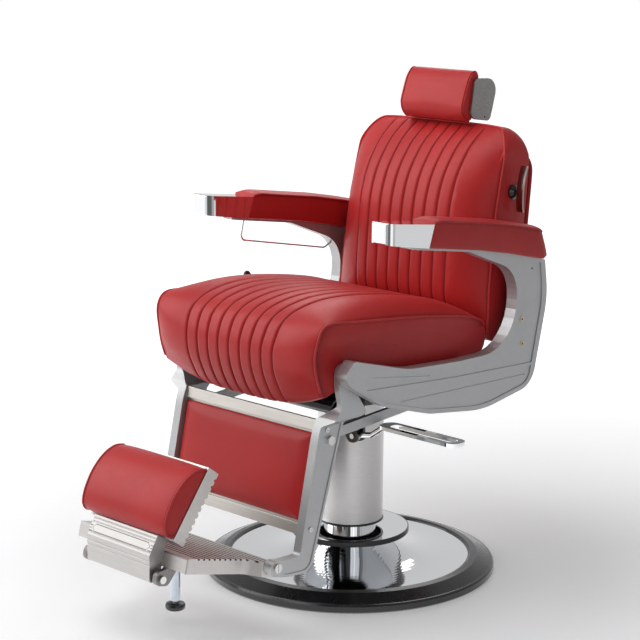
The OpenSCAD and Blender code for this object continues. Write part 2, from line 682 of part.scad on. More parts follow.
ear_x = 108;
ear_thick = 12;
module flip_ears() {
    color(bright) difference() {
        on_board() both_sides() along_x(ear_x, ear_x + ear_thick) polygon(outline([
            [-226, -board_thick, 0], [-196, -board_thick, 0], [-216, -70, 14], [-251, -71, 14], [-251, -42, 13],
            [-230, -36, 4]]));
        pin_x(flip_pivot, 5 + fit, -150, 150);
    }
}

// ---------- flip footrest ----------
module on_flip() {
    translate([0, flip_foot.x, flip_foot.y]) rotate([flip_tilt, 0, 0]) children();
}
module flip_plate() {
    // as many ribs as the plate's face takes
    ribs = floor((flip_len - 25) / rib_pitch) + 1;
    teeth = [for (i = [0:ribs - 1]) let(y = 13 + i * rib_pitch)
        each [[y, 0], [y + 1.6, 3.4], [y + 4, 4.6], [y + 6.4, 3.4], [y + 8, 0]]];
    color(bright) on_flip() along_x(-flip_half, flip_half) polygon(concat(
        [[0, flip_thick], [0, 2], [2, 0]], teeth, [[flip_len - 2, 0], [flip_len, 2], [flip_len, flip_thick]]));
}
// the block's back stands on the footboard's front, its top carries the plate
stop_low = [flip_pivot.x + 8.5, 150];
module nose_block() {
    corner = flip_foot + flip_thick * [-sin(flip_tilt), cos(flip_tilt)];
    middle = (corner + flip_foot) / 2;
    lift = middle.y - 9 - stop_low.y;
    color(bright) difference() {
        along_x(-nose_half, nose_half) polygon(outline([
            [-697, 150, 5], [stop_low.x, stop_low.y, 2],
            [stop_low.x + lift * tan(board_slope), stop_low.y + lift, 0],
            [middle.x, middle.y, 0], [corner.x, corner.y, 0], [-673, 249, 3], [-697, 208, 4]]));
        // ribs along the sloping face and the front
        for (q = [[-681.5, 234.5], [-677.6, 241.2], [-693.5, 214]])
            pin_x(q, 1.6, -nose_half - 1, nose_half + 1);
        for (z = [196, 186]) pin_x([-697.6, z], 1.8, -nose_half - 1, nose_half + 1);
        pin_x(flip_pivot, 5, -150, 150);
    }
}
module flip_pin() {
    color(bright) {
        pin_x(flip_pivot, 5, -ear_x - ear_thick - 1, ear_x + ear_thick + 1);
        for (x = [-ear_x - ear_thick - 6, ear_x + ear_thick + 1]) pin_x(flip_pivot, 8, x, x + 5);
    }
}
pad_side = [[6, 4], [2, 20], [14, 36], [40, 46], [80, 50], [120, 43], [150, 26], [164, 6]];
function pad_ring(x) = let(u = abs(x) / flip_half, e = 1 - 0.14 * ramp(u, 0.86, 1), base = spline(pad_side, 2))
    concat([[x, 8, flip_thick]], [for (p = base) [x, 84 + (p.x - 84) * e, flip_thick + p.y * e]],
        [[x, flip_len - 6, flip_thick]]);
module foot_pad() {
    color(red) on_flip() skin([for (u = [-1, -0.97, -0.9, -0.8, -0.4, 0, 0.4, 0.8, 0.9, 0.97, 1])
        pad_ring(u * (flip_half - 1))]);
}

// ---------- back ----------
module on_back() {
    translate([0, back_foot.x, back_foot.y]) rotate([-back_lean, 0, 0]) children();
}
module back_frame() {
    color(black) both_sides() {
        difference() {
            along_x(lane_outer - lane_thick, lane_outer) polygon(outline([
                [232, 436, 13], [260, 435, 13], [277, 575, 60], [342, 694, 14], [333, 717, 6], [303, 717, 10],
                [236, 612, 20], [236, 560, 60]], 8));
            pin_x(back_pivot, pin_r + fit, lane_outer - 20, lane_outer + 1);
        }
        pin_x(rear_pin, pin_r - 2, link_x - 4, lane_outer - lane_thick);
        pin_x(rear_pin, pin_r + 2, link_x - 8, link_x - 1);
    }
}
board_y = back_deep;
board_thick_back = 6;
module back_board() {
    wing = lane_outer - lane_thick;
    color("sienna") on_back() along_y(board_y, board_y + board_thick_back) polygon(outline([
        [-wing, -38, 8], [wing, -38, 8], [wing, 108, 8], [back_half - 13, 118, 20],
        [back_half - 16, 360, 40], [16 - back_half, 360, 40], [13 - back_half, 118, 20], [-wing, 108, 8]]));
}
function back_width(z) = back_half - 0.055 * max(z, 0);
// side views of the back from its foot over the front and the top to the rear: at the piping, and in the middle
back_side = [[16, -68], [5, -60], [0, -48], [-3, -28], [-3, -10], [-3, 50], [-2, 140], [3, 222], [9, 265],
    [14, 300], [20, 338], [26, 372], [38, 410], [64, 422], [88, 410], [101, 384]];
back_middle = [[16, -68], [5, -61], [-7, -47], [-17, -30], [-40, -4], [-60, 36], [-68, 130], [-70, 215], [-65, 262],
    [-54, 303], [-33, 345], [-6, 382], [40, 421], [66, 424], [88, 411], [101, 384]];
// the rise of the middle line as it is listed above
listed_bulge = 66;
// the rounding of the upper corners
back_corner = 50;
function back_ring(x) =
    let(u = min(abs(x) / back_half, 1), side = spline(back_side, 2), mid = spline(back_middle, 2), n = len(side),
        corner = back_corner * (1 - sqrt(1 - pow(ramp_line(u, 1 - back_corner / back_half, 1), 2))),
        puff = (1 - pow(u, 4.5)) * back_crown / listed_bulge)
    concat([for (i = [0:n - 1])
        let(t = unit(mid[min(i + 1, n - 1)] - mid[max(i - 1, 0)]), out = [-t.y, t.x],
            p = side[i] + (mid[i] - side[i]) * puff - out * groove(x) * (side[i].x < 30 ? 1 : 0))
        back_point(x, [p.x, p.y - corner * ramp(side[i].y, 330, 426)])],
        [back_point(x, [back_deep, 340]), back_point(x, [back_deep, -44]), back_point(x, [back_deep - 8, -50])]);
function ramp_line(v, lo, hi) = min(max((v - lo) / (hi - lo), 0), 1);
// the channels run straight up, and the bolsters beside them narrow with the back
function back_point(x, p) = let(flat_half = 4 * channel_pitch, over = max(abs(x) - flat_half, 0))
    [sign(x) * (min(abs(x), flat_half) + over * (back_width(p.y) - flat_half) / (back_half - flat_half)), p.x, p.y];
post_y = 60;
lock_at = [48.3, 278.4];
rosette_x = back_half - 24;
module back_cushion() {
    color(red) on_back() difference() {
        skin([for (x = stations(back_half)) back_ring(x)]);
        translate([-20, post_y - 8, 240]) cube([40, 16, 220]);
        translate([rosette_x, lock_at.x, lock_at.y]) rotate([0, 90, 0]) cylinder(r = 17, h = 40);
    }
}
cover_thick = 12;
module back_cover() {
    foot = back_half - 6;
    top = back_half - 12;
    color(red) on_back() along_y(board_y + board_thick_back, board_y + board_thick_back + cover_thick)
        polygon(outline([[-foot, -30, 20], [foot, -30, 20], [top, 372, 46], [-top, 372, 46]]));
}
module headrest_socket() {
    color(black) on_back() difference() {
        translate([-20, post_y - 8, 240]) cube([40, 16, 186]);
        translate([-15.1, post_y - 4.1, 244]) cube([30.2, 8.2, 190]);
    }
}
module lock_rosette() {
    color(black) on_back() translate([0, lock_at.x, lock_at.y]) rotate([0, 90, 0]) difference() {
        union() {
            translate([0, 0, rosette_x]) cylinder(r = 17, h = 22);
            translate([0, 0, rosette_x + 22]) cylinder(r1 = 17, r2 = 10, h = 6);
        }
        translate([0, 0, rosette_x + 4]) cylinder(r = 5 + fit, h = 30);
    }
}
blade_x = rosette_x + 40;
// the blade's side view: it bows forwards between its ends
blade_bow = [[4, -44], [-1, -24], [-4, 8], [-1, 40], [4, 62]];
blade_thick = 5;
module lock_lever() {
    color(bright) on_back() translate([0, lock_at.x, lock_at.y]) {
        rotate([0, 90, 0]) translate([0, 0, rosette_x + 6]) cylinder(r = 5, h = 36);
        along_x(blade_x - 9, blade_x + 9) polygon(concat(
            rev(spline(blade_bow, 4)), spline([for (p = blade_bow) p + [blade_thick, 0]], 4),
            [[4 + blade_thick, 62], [4, 62]]));
    }
}

// ---------- headrest ----------
module headrest_post() {
    rise = head_pivot - back_foot;
    up = norm(rise) * cos(atan2(rise.x, rise.y) - back_lean);
    color(bright) difference() {
        union() {
            on_back() translate([-15, post_y - 4, 250]) cube([30, 8, up - 250]);
            pin_x(head_pivot, 14, -20, 20);
        }
        pin_x(head_pivot, 6 + fit, -30, 30);
    }
}
housing_corners = [[-30, -38, 4], [20, -44, 14], [40, -20, 30], [44, 30, 24], [10, 46, 20], [-30, 44, 4]];
module headrest_housing() {
    inner = head_half + 1;
    color(black) translate([0, head_pivot.x, head_pivot.y]) {
        difference() {
            along_x(-inner, inner) polygon(outline(housing_corners));
            translate([-21, -17, -60]) cube([42, 120, 120]);
        }
        pin_x([0, 0], 6, -22, 22);
    }
}
plate_corners = [[-44, -43, 20], [27, -52, 14], [55, 47, 30], [-28, 50, 16]];
module headrest_plates() {
    color(bright) translate([0, head_pivot.x, head_pivot.y]) both_sides() difference() {
        along_x(head_half + 1, head_half + 6) polygon(outline(plate_corners, 8));
        pin_x([8, -41], 2.2, head_half, head_half + 8);
    }
}
// the pad's side view, from its foot up the front and back over the housing
head_side = [[-32, -50], [-43, -48], [-54, -41], [-62, -28], [-65, -11], [-63, 4], [-57, 22], [-47, 40], [-37, 54],
    [-25, 65], [-13, 66]];
function head_ring(x) = let(u = abs(x) / head_half, e = 3 * ramp(u, 0.9, 1))
    concat([[x, -30, -36]], [for (p = head_side) [x, p.x + e * 0.8, p.y - e * unit(p).y]],
        [[x, -8, 53], [x, -10, 48.5], [x, -30, 48.5]]);
module headrest_pad() {
    color(red) translate([0, head_pivot.x, head_pivot.y])
        skin([for (u = [-1, -0.97, -0.9, -0.5, 0, 0.5, 0.9, 0.97, 1]) head_ring(u * head_half)]);
}

base_plate();
base_ring();
base_dome();
base_disc();
disc_band();
pump_cylinder();
ram_piston();
thrust_ring();
seat_carrier();
column_cover();
cover_ring();
seat_pan();
seat_cushion();
side_frame(1);  // side_frame_left
side_frame(-1);  // side_frame_right
arm_pad(1);  // arm_pad_left
arm_pad(-1);  // arm_pad_right
arm_cap(1);  // arm_cap_left
arm_cap(-1);  // arm_cap_right
towel_bar();
frame_screws();
leg_pivot_pins();
back_pivot_pins();
lever_bracket();
recline_boss();
pump_lever();
recline_lever();
leg_frame(1);  // leg_frame_left
leg_frame(-1);  // leg_frame_right
calf_panel();
calf_board();
calf_strip(3);  // calf_strip_top
calf_strip(-calf_len - 26);  // calf_strip_bottom
footboard();
foot_bolts();
leg_screws();
link_bolts();
support_tube();
flip_ears();
foot_screw();
foot_disc();
flip_plate();
nose_block();
foot_pad();
flip_pin();
link_bar(1);  // link_bar_left
link_bar(-1);  // link_bar_right
back_frame();
back_board();
back_cushion();
back_cover();
headrest_socket();
lock_rosette();
lock_lever();
headrest_post();
headrest_housing();
headrest_pad();
headrest_plates();
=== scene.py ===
# %% [markdown]
# # A hydraulic barber chair
# This lesson dresses a finished mechanical model of a barber's chair. The metal pieces come
# ready-made from the frame, so here they only get their finishes. The upholstery is made here,
# because a solid made for machines can't show how leather, foam and seams behave.
#
# The chair stands on the origin, Z is up and the sitter looks along -Y.

# %% Open the frame
import math
import bpy
import numpy as np
from mathutils import Matrix


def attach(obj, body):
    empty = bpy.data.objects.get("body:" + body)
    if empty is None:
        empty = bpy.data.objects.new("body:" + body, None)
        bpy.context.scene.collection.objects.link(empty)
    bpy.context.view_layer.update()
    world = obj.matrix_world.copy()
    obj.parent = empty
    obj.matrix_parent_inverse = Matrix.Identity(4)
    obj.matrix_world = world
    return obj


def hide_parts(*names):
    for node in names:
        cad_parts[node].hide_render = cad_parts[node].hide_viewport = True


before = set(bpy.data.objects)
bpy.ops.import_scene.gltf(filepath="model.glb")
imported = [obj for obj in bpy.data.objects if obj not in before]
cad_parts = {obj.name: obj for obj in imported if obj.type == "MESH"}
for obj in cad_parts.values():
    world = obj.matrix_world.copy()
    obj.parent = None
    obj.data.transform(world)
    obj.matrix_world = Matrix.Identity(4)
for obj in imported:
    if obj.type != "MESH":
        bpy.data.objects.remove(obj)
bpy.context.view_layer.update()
print("frame opened with", len(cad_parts), "ready-made pieces")

# %% [markdown]
# Shapes are worked out in millimetres, as a maker would, and turned into metres when a mesh is
# built. `ramp` blends softly between two limits. `curve` is a smooth line through a few points,
# sampled evenly. `mesh_piece` builds a mesh from whole arrays; where the skin is closed it
# measures its own volume and turns every face round if that comes out negative, so normals always
# point outwards.

# %% Lines and meshes
MM = 0.001


def ramp(value, low, high):
    """0 at low, 1 at high and 3t^2 - 2t^3 between, so that both ends leave flat."""
    t = np.clip((np.asarray(value, float) - low) / (high - low), 0, 1)
    return t * t * (3 - 2 * t)


def curve(points, count):
    """A Catmull-Rom line through the points, at count places evenly spaced along its length."""
    p = np.asarray(points, float)
    a, b, c, d = np.vstack([p[:1], p[:-2]]), p[:-1], p[1:], np.vstack([p[2:], p[-1:]])
    a, b, c, d = (q[:, None, :] for q in (a, b, c, d))
    t = np.linspace(0, 1, 24, endpoint=False)[None, :, None]
    fine = 0.5 * (2 * b + (c - a) * t + (2 * a - 5 * b + 4 * c - d) * t**2
                  + (3 * b - a - 3 * c + d) * t**3)
    fine = np.vstack([fine.reshape(-1, p.shape[1]), p[-1:]])
    return evenly(fine, count)


def evenly(line, count):
    """The same line with count points, evenly spaced along its length."""
    run = np.concatenate([[0], np.cumsum(np.linalg.norm(np.diff(line, axis=0), axis=1))])
    want = np.linspace(0, run[-1], count)
    return np.stack([np.interp(want, run, line[:, k]) for k in range(line.shape[1])], axis=1)


def mesh_piece(name, points, faces, smooth=True, closed=True):
    """A mesh from points in millimetres. The sign of its volume is that of the sum of a . (b x c)
    over its triangles, whose corners a, b and c are measured from the points' middle."""
    p = np.asarray(points, float) * MM
    if closed:
        fans = [(f[0], f[i], f[i + 1]) for f in faces for i in range(1, len(f) - 1)]
        a, b, c = (p[np.array(fans)[:, k]] - p.mean(0) for k in range(3))
        if np.einsum("ij,ij->", a, np.cross(b, c)) < 0:
            faces = [f[::-1] for f in faces]
    mesh = bpy.data.meshes.new(name)
    mesh.from_pydata(p.tolist(), [], [list(map(int, f)) for f in faces])
    mesh.polygons.foreach_set("use_smooth", [smooth] * len(mesh.polygons))
    mesh.update()
    piece = bpy.data.objects.new(name, mesh)
    bpy.context.scene.collection.objects.link(piece)
    return piece


print("line and mesh helpers ready")

# %% [markdown]
# Almost every new piece is one of two kinds. A *skin* is a grid whose rows are closed rings, with
# a fan of triangles at each end; because its rows and columns are known, a seam is found by its
# row number. A *tube* carries a circle along a line, and makes the piping.

# %% Skins and tubes
def ring_faces(rows, ring):
    """Quads between neighbouring rings, as an array of four corner numbers each."""
    i, j = np.meshgrid(np.arange(rows - 1), np.arange(ring), indexing="ij")
    a, b = i * ring + j, i * ring + (j + 1) % ring
    return np.stack([a, b, b + ring, a + ring], axis=-1).reshape(-1, 4)


def skin(name, grid):
    """A closed skin over rings (rows, ring, 3), whose ends close at their own middles."""
    rows, ring, _ = grid.shape
    points = np.vstack([grid.reshape(-1, 3), grid[0].mean(0), grid[-1].mean(0)])
    j = np.arange(ring)
    k = (j + 1) % ring
    total, start = rows * ring, (rows - 1) * ring
    first = np.stack([np.full(ring, total), k, j], axis=1)
    last = np.stack([np.full(ring, total + 1), start + j, start + k], axis=1)
    return mesh_piece(name, points, [*ring_faces(rows, ring), *first, *last])


def sweep(name, path, section, closed, up):
    """Carries a flat section (side, rise) along the path:
    point = path + side * across + rise * square,
    where across is at right angles to the path and to up, and square to the path and across."""
    p, s = np.asarray(path, float), np.asarray(section, float)
    ahead = np.roll(p, -1, 0) - np.roll(p, 1, 0)
    if not closed:
        ahead[0], ahead[-1] = p[1] - p[0], p[-1] - p[-2]
    ahead /= np.linalg.norm(ahead, axis=1, keepdims=True)
    across = np.cross(ahead, np.asarray(up, float))
    across /= np.linalg.norm(across, axis=1, keepdims=True)
    square = np.cross(across, ahead)
    grid = p[:, None] + s[None, :, :1] * across[:, None] + s[None, :, 1:] * square[:, None]
    if not closed:
        return skin(name, grid)
    faces = ring_faces(len(p) + 1, len(s)) % (len(p) * len(s))
    return mesh_piece(name, grid.reshape(-1, 3), list(faces))


def circle(radius, sides=10):
    """Points round a circle."""
    a = np.linspace(0, 2 * np.pi, sides, endpoint=False)
    return radius * np.stack([np.cos(a), np.sin(a)], axis=1)


def tube(name, path, radius, closed=False, up=(1, 0, 0)):
    """A round tube along a path whose direction is never parallel to up."""
    return sweep(name, path, circle(radius), closed, up)


print("skin and tube helpers ready")

# %% [markdown]
# The camera looks from the chair's front left and from a little above its headrest, through a long
# lens, so that the parallel arms barely converge. The optical axis falls right of the picture's
# centre, which is a small horizontal shift of the lens and not a turn of the camera.

# %% Camera
eye = (2.9201, -3.0405, 1.4674)
right, above, back = (0.7196, 0.6943, 0.0108), (-0.1496, 0.1399, 0.9788), (0.6780, -0.7060, 0.2046)
lens = bpy.data.cameras.new("portrait_lens")
lens.sensor_width = 36
lens.lens = 105.21
lens.shift_x = -0.05015625
lens.clip_start, lens.clip_end = 0.05, 60
camera = bpy.data.objects.new("camera", lens)
rows = [[right[k], above[k], back[k], eye[k]] for k in range(3)]
camera.matrix_world = Matrix(rows + [[0, 0, 0, 1]])
bpy.context.scene.collection.objects.link(camera)
bpy.context.scene.camera = camera
bpy.context.scene.view_settings.view_transform = "Standard"
print("camera", round(lens.lens, 1), "mm")

# %% [markdown]
# Nodes are written through one small helper. It makes a shader node, applies its settings, and
# then goes through its inputs: a socket is linked, anything else is typed into the input itself.

# %% Node helpers
def node(tree, kind, inputs=None, **settings):
    """A shader node of the kind, with each input either typed in or linked from another socket."""
    made = tree.nodes.new("ShaderNode" + kind)
    for key, value in settings.items():
        setattr(made, key, value)
    for key, value in (inputs or {}).items():
        if isinstance(value, bpy.types.NodeSocket):
            tree.links.new(value, made.inputs[key])
        else:
            made.inputs[key].default_value = value
    return made


def finish(name, **typed):
    """A new material, its node tree and its Principled shader, with the typed values on it."""
    made = bpy.data.materials.new(name)
    made.use_nodes = True
    shader = made.node_tree.nodes["Principled BSDF"]
    for key, value in typed.items():
        shader.inputs[key.replace("_", " ")].default_value = value
    return made, made.node_tree, shader


def place(tree, scale=(1, 1, 1)):
    """The piece's own coordinates in metres, stretched by scale."""
    where = node(tree, "TexCoord").outputs["Object"]
    return node(tree, "Mapping", {"Vector": where, "Scale": scale}).outputs["Vector"]


def noise(tree, where, scale, detail=3.0, rough=0.5, twist=0.0):
    """A noise value, 0 to 1, with features about 1 / scale metres wide."""
    put = {"Vector": where, "Scale": scale, "Detail": detail, "Roughness": rough,
           "Distortion": twist}
    return node(tree, "TexNoise", put).outputs["Fac"]


def spread(tree, value, low, high, start=0.0, end=1.0):
    """Stretches low..high of a value to start..end, held at both ends."""
    put = {"Value": value, "From Min": low, "From Max": high, "To Min": start, "To Max": end}
    return node(tree, "MapRange", put).outputs["Result"]


def tint(tree, share, first, second):
    """A colour between two, by share."""
    made = node(tree, "Mix", data_type="RGBA")
    for key, value in ((0, share), (6, first), (7, second)):
        if isinstance(value, bpy.types.NodeSocket):
            tree.links.new(value, made.inputs[key])
        else:
            made.inputs[key].default_value = (*value, 1) if key else value
    return made.outputs[2]


def bump(tree, height, strength, depth, under=None):
    """A bump of that depth in metres, on top of another one."""
    put = {"Height": height, "Strength": strength, "Distance": depth}
    if under is not None:
        put["Normal"] = under
    return node(tree, "Bump", put).outputs["Normal"]


def maths(tree, what, a, b=0.0):
    """One sum on two values."""
    return node(tree, "Math", {0: a, 1: b}, operation=what).outputs[0]


def times(tree, value, *others):
    """The product of the values."""
    for other in others:
        value = maths(tree, "MULTIPLY", value, other)
    return value


def rest_of(tree, value):
    """1 - value."""
    return maths(tree, "SUBTRACT", 1.0, value)


def measure(tree, where, way):
    """How far a place lies along a way: their dot product."""
    return node(tree, "VectorMath", {0: where, 1: way}, operation="DOT_PRODUCT").outputs["Value"]


def towards(tree, where, way, low, high, start, end):
    """start..end by the cosine of the angle, seen from above, between a place and a way (x, y)."""
    flat = node(tree, "VectorMath", {0: where, 1: (1, 1, 0)}, operation="MULTIPLY")
    flat = node(tree, "VectorMath", {0: flat.outputs["Vector"]}, operation="NORMALIZE")
    cosine = measure(tree, flat.outputs["Vector"], (*way, 0))
    return spread(tree, cosine, low, high, start, end)


def streaks(tree, where):
    """0..1 by the direction round the chair: narrow bright strips, as lamp edges show in chrome."""
    flat = node(tree, "SeparateXYZ", {0: where}).outputs
    turn = maths(tree, "ARCTAN2", flat["Y"], flat["X"])
    strip = node(tree, "TexNoise", {"W": turn, "Scale": 7.0, "Detail": 1.0}, noise_dimensions="1D")
    return spread(tree, strip.outputs["Fac"], 0.56, 0.64)


def wire(tree, shader, **sockets):
    """Links sockets to the shader's inputs of those names."""
    for key, value in sockets.items():
        tree.links.new(value, shader.inputs[key.replace("_", " ")])


print("node helpers ready")

# %% [markdown]
# ## Floor and light
# A plain pale floor runs up into nothing: the camera sees a white world behind it, and the floor
# glows a little where the camera looks at it, more so far away, until it meets that white. The
# chair's soft shadow stays.
#
# Polished metal has no colour of its own and lives on reflections, so what it sees is arranged
# apart from what the camera sees. A mirror sees a bright floor round the chair, and far away a
# dark side behind the camera, broken by a few bright strips. These are the black curtain and the
# lamp edges of a studio, which draw the dark and bright lines down a chrome dome. `is a camera
# ray` and `is a glossy ray` keep the three views apart. Soft light comes from four large lamps, so
# no shadow has a hard edge.

# %% Floor
behind_camera, left_rear = (0.69, -0.72), (0.7, 0.7)
floor_paint, tree, shader = finish("floor_paint", Roughness=0.7)
where = place(tree)
paths = node(tree, "LightPath").outputs
far_off = node(tree, "VectorMath", {0: where}, operation="LENGTH").outputs["Value"]
dark_side = times(tree, towards(tree, where, behind_camera, 0.5, 0.9, 0.0, 0.92),
                  spread(tree, far_off, 1.6, 3.0), rest_of(tree, streaks(tree, where)))
open_side = rest_of(tree, times(tree, dark_side, paths["Is Glossy Ray"]))
looked_at = times(tree, paths["Is Camera Ray"], spread(tree, far_off, 0.6, 3.2, 0.22, 0.95))
mirrored = times(tree, open_side, towards(tree, where, left_rear, 0.2, 0.9, 1.0, 0.5),
                 spread(tree, far_off, 0.4, 2.6, 0.75, 0.9), paths["Is Glossy Ray"])
spots = spread(tree, noise(tree, where, 3.0), 0.3, 0.7)
pale = tint(tree, spots, (0.80, 0.80, 0.81), (0.84, 0.84, 0.85))
wire(tree, shader, Base_Color=tint(tree, open_side, (0.02, 0.02, 0.02), pale),
     Emission_Strength=maths(tree, "ADD", looked_at, mirrored))
shader.inputs["Emission Color"].default_value = (1, 1, 1, 1)
reach = np.linspace(-1, 1, 3) * 9000
floor_points = np.stack(np.meshgrid(reach, reach, [-0.5], indexing="ij"), axis=-1).reshape(-1, 3)
cells = [[0, 3, 4, 1], [1, 4, 5, 2], [3, 6, 7, 4], [4, 7, 8, 5]]
floor = mesh_piece("floor", floor_points, cells, smooth=False, closed=False)
floor.data.materials.append(floor_paint)
print("floor", round(2 * reach[-1] * MM), "m across")

# %% [markdown]
# The world gives soft light from all round for rough surfaces, and its own picture for mirrors:
# paler near the horizon, with the same dark side and strips as the floor, so that the two meet
# unseen. Lamps are large rectangles, and one helper aims each at the chair.

# %% World
world = bpy.data.worlds.new("studio")
bpy.context.scene.world = world
world.use_nodes = True
tree = world.node_tree
sky = tree.nodes["Background"]
way = node(tree, "TexCoord").outputs["Generated"]
height = node(tree, "SeparateXYZ", {0: way}).outputs["Z"]
paths = node(tree, "LightPath").outputs
soft = tint(tree, spread(tree, height, 0.0, 0.8), (0.27, 0.27, 0.275), (0.20, 0.20, 0.205))
dark_side = times(tree, towards(tree, way, behind_camera, 0.5, 0.9, 0.0, 0.9),
                  rest_of(tree, streaks(tree, way)))
shade = times(tree, rest_of(tree, dark_side), towards(tree, way, left_rear, 0.2, 0.9, 1.0, 0.8))
sharp = tint(tree, spread(tree, height, 0.02, 0.7), (0.72, 0.72, 0.73), (0.50, 0.50, 0.51))
room = tint(tree, paths["Is Glossy Ray"], soft, tint(tree, shade, (0, 0, 0), sharp))
tree.links.new(tint(tree, paths["Is Camera Ray"], room, (1, 1, 1)), sky.inputs["Color"])


def softbox(name, at, size, watts, to=(0, 0, 0.6)):
    """A rectangular lamp at a place, turned to face the chair's middle."""
    light = bpy.data.lights.new(name, "AREA")
    light.shape, light.size, light.size_y, light.energy = "RECTANGLE", size[0], size[1], watts
    made = bpy.data.objects.new(name, light)
    bpy.context.scene.collection.objects.link(made)
    away = np.array(at, float) - np.array(to, float)
    away /= np.linalg.norm(away)
    across = np.cross([0, 0, 1.0], away)
    across /= np.linalg.norm(across)
    rows = np.stack([across, np.cross(away, across), away, at], axis=1)
    made.matrix_world = Matrix([*rows.tolist(), [0, 0, 0, 1]])


softbox("key_light", (-2.6, -2.3, 2.3), (3.0, 2.8), 68)
softbox("top_light", (-0.5, -0.9, 3.4), (2.4, 2.4), 40)
softbox("fill_light", (3.0, -1.6, 1.6), (1.8, 1.6), 8)
softbox("rim_light", (-2.0, 2.2, 2.6), (1.6, 1.6), 14)
print("world and four softboxes ready")

# %% [markdown]
# ## Leather
# Upholstery leather on such a chair is smooth and thinly finished. It needs four scales at once: a
# soft change of tone over a hand's width, creases as wide as a finger, a pebble grain of about a
# millimetre, and seams. The pieces carry two values of their own for the seams: `seam` is 1 on a
# seam and fades within millimetres, and `along` is the length along it, which the needle's dimples
# follow. Where `seam` is high the leather is also painted darker: painted shade in the seams' folds
# and beside the piping.

# %% Red leather
stitch_length = 0.0045


def leather(name, light, dark, shine=0.40):
    """Leather whose tone runs between dark and light, with grain, creases and stitched seams."""
    made, tree, shader = finish(name, Specular_IOR_Level=0.30, Sheen_Weight=0.02,
                                Sheen_Roughness=0.5)
    where = place(tree)
    seam = node(tree, "Attribute", attribute_name="seam").outputs["Fac"]
    along = node(tree, "Attribute", attribute_name="along").outputs["Fac"]
    tone = spread(tree, noise(tree, where, 5.0, 4.0, 0.55), 0.3, 0.7)
    fleck = spread(tree, noise(tree, where, 700.0, 2.0), 0.35, 0.65)
    colour = tint(tree, tone, dark, light)
    colour = tint(tree, times(tree, fleck, 0.10), colour, [0.6 * c for c in dark])
    # painted shade: the leather darkens towards a fifth of its dark tone in the seams and beside
    # the piping
    colour = tint(tree, times(tree, seam, 0.62), colour, [0.22 * c for c in dark])
    pebble = node(tree, "TexVoronoi", {"Vector": where, "Scale": 620.0}, feature="SMOOTH_F1")
    crease = noise(tree, where, 34.0, 5.0, 0.6, 0.8)
    stitch = maths(tree, "SINE", times(tree, along, 2 * math.pi / stitch_length))
    normal = bump(tree, pebble.outputs["Distance"], 0.10, 0.0006)
    normal = bump(tree, crease, 0.16, 0.0022, normal)
    normal = bump(tree, times(tree, stitch, seam), 0.30, 0.0004, normal)
    rough = spread(tree, noise(tree, where, 90.0, 3.0), 0.3, 0.7, shine - 0.03, shine + 0.06)
    rough = maths(tree, "ADD", rough, times(tree, seam, 0.2))
    wire(tree, shader, Base_Color=colour, Roughness=rough, Normal=normal)
    return made


red = leather("red_leather", (0.56, 0.026, 0.026), (0.46, 0.018, 0.019))
# the piping's leather is a lighter copy of the red: a painted highlight along the cord
piping_red_highlit = leather("piping_leather_highlit", (0.62, 0.036, 0.036), (0.52, 0.026, 0.028), 0.34)
print("leather finishes ready")

# %% [markdown]
# ## Metals
# A metal's base colour is its reflection. What tells chrome from satin steel and from a casting is
# only how rough it is and how that roughness lies: none on chrome, in fine lines on brushed plate,
# in specks on a silver-painted casting. Lines come from noise that is stretched along the stroke.

# %% Chrome
def polished(name, colour, rough, smear=0.03):
    """A mirror metal with faint smears and slightly uneven plating."""
    made, tree, shader = finish(name, Metallic=1.0)
    where = place(tree)
    cloud = noise(tree, where, 9.0, 4.0, 0.6, 0.5)
    speck = spread(tree, noise(tree, where, 300.0, 2.0), 0.68, 0.80)
    wire(tree, shader, Base_Color=tint(tree, speck, colour, [0.82 * c for c in colour]),
         Roughness=spread(tree, cloud, 0.35, 0.75, rough, rough + smear),
         Normal=bump(tree, noise(tree, where, 26.0, 2.0), 0.05, 0.0015))
    return made


chrome = polished("chrome", (0.86, 0.87, 0.88), 0.035)
steel_pin = polished("ground_steel", (0.62, 0.61, 0.60), 0.22, 0.10)
# the lock lever's chrome is made dark and brown: painted shade and a painted reflection of the red
# leather
chrome_painted_shade = polished("chrome_painted_shade", (0.34, 0.30, 0.28), 0.12)
brass = polished("brass", (0.50, 0.42, 0.28), 0.24, 0.10)
bronze = polished("bronze", (0.48, 0.33, 0.16), 0.35, 0.15)
print("polished metals ready")

# %% [markdown]
# Two pieces have lines cut into them. The footboard is a casting with deep ribs, which are in its
# solid, and the bottom of each groove is coloured nearly black. The footrest's nose carries a blank
# plaque with an engraved border, whose lines are coloured dark the same way. Both are worked out
# from the place on the piece, so that they lie exactly on its slope: a function says 1 in the
# groove and 0 beside it.

# %% Grooves and engraved lines
board_slope, board_foot = math.radians(13.5), np.array([-437.0, 158.0])
board_pitch, board_ribs, rib_height, first_groove, groove_share = 15.0, 13, 3.3, 14.0, 0.34
plaque_foot, plaque_rise = np.array([-697.0, 208.0]), np.array([24.0, 41.0])
plaque_up, plaque_half, plaque_tall, engraved = 18.0, 93.0, 8.0, 0.8
bar_pitch, bar_share, bar_start = 6.0, 0.3, -8.9


def grooves(tree):
    """1 in the footboard's grooves, a third of the pitch wide along its slope, and 0 elsewhere."""
    down = np.array([math.cos(board_slope), -math.sin(board_slope)])
    out = np.array([-down[1], down[0]])
    where = place(tree)
    start = (board_foot @ down - first_groove) * MM
    steps = maths(tree, "SUBTRACT", start, measure(tree, where, (0, *down)))
    steps = maths(tree, "DIVIDE", steps, board_pitch * MM)
    high = maths(tree, "GREATER_THAN", measure(tree, where, (0, *out)),
                 (board_foot @ out - rib_height) * MM)
    return times(tree, maths(tree, "LESS_THAN", maths(tree, "FRACT", steps), groove_share), high,
                 maths(tree, "GREATER_THAN", steps, 0.0),
                 maths(tree, "LESS_THAN", steps, float(board_ribs)))


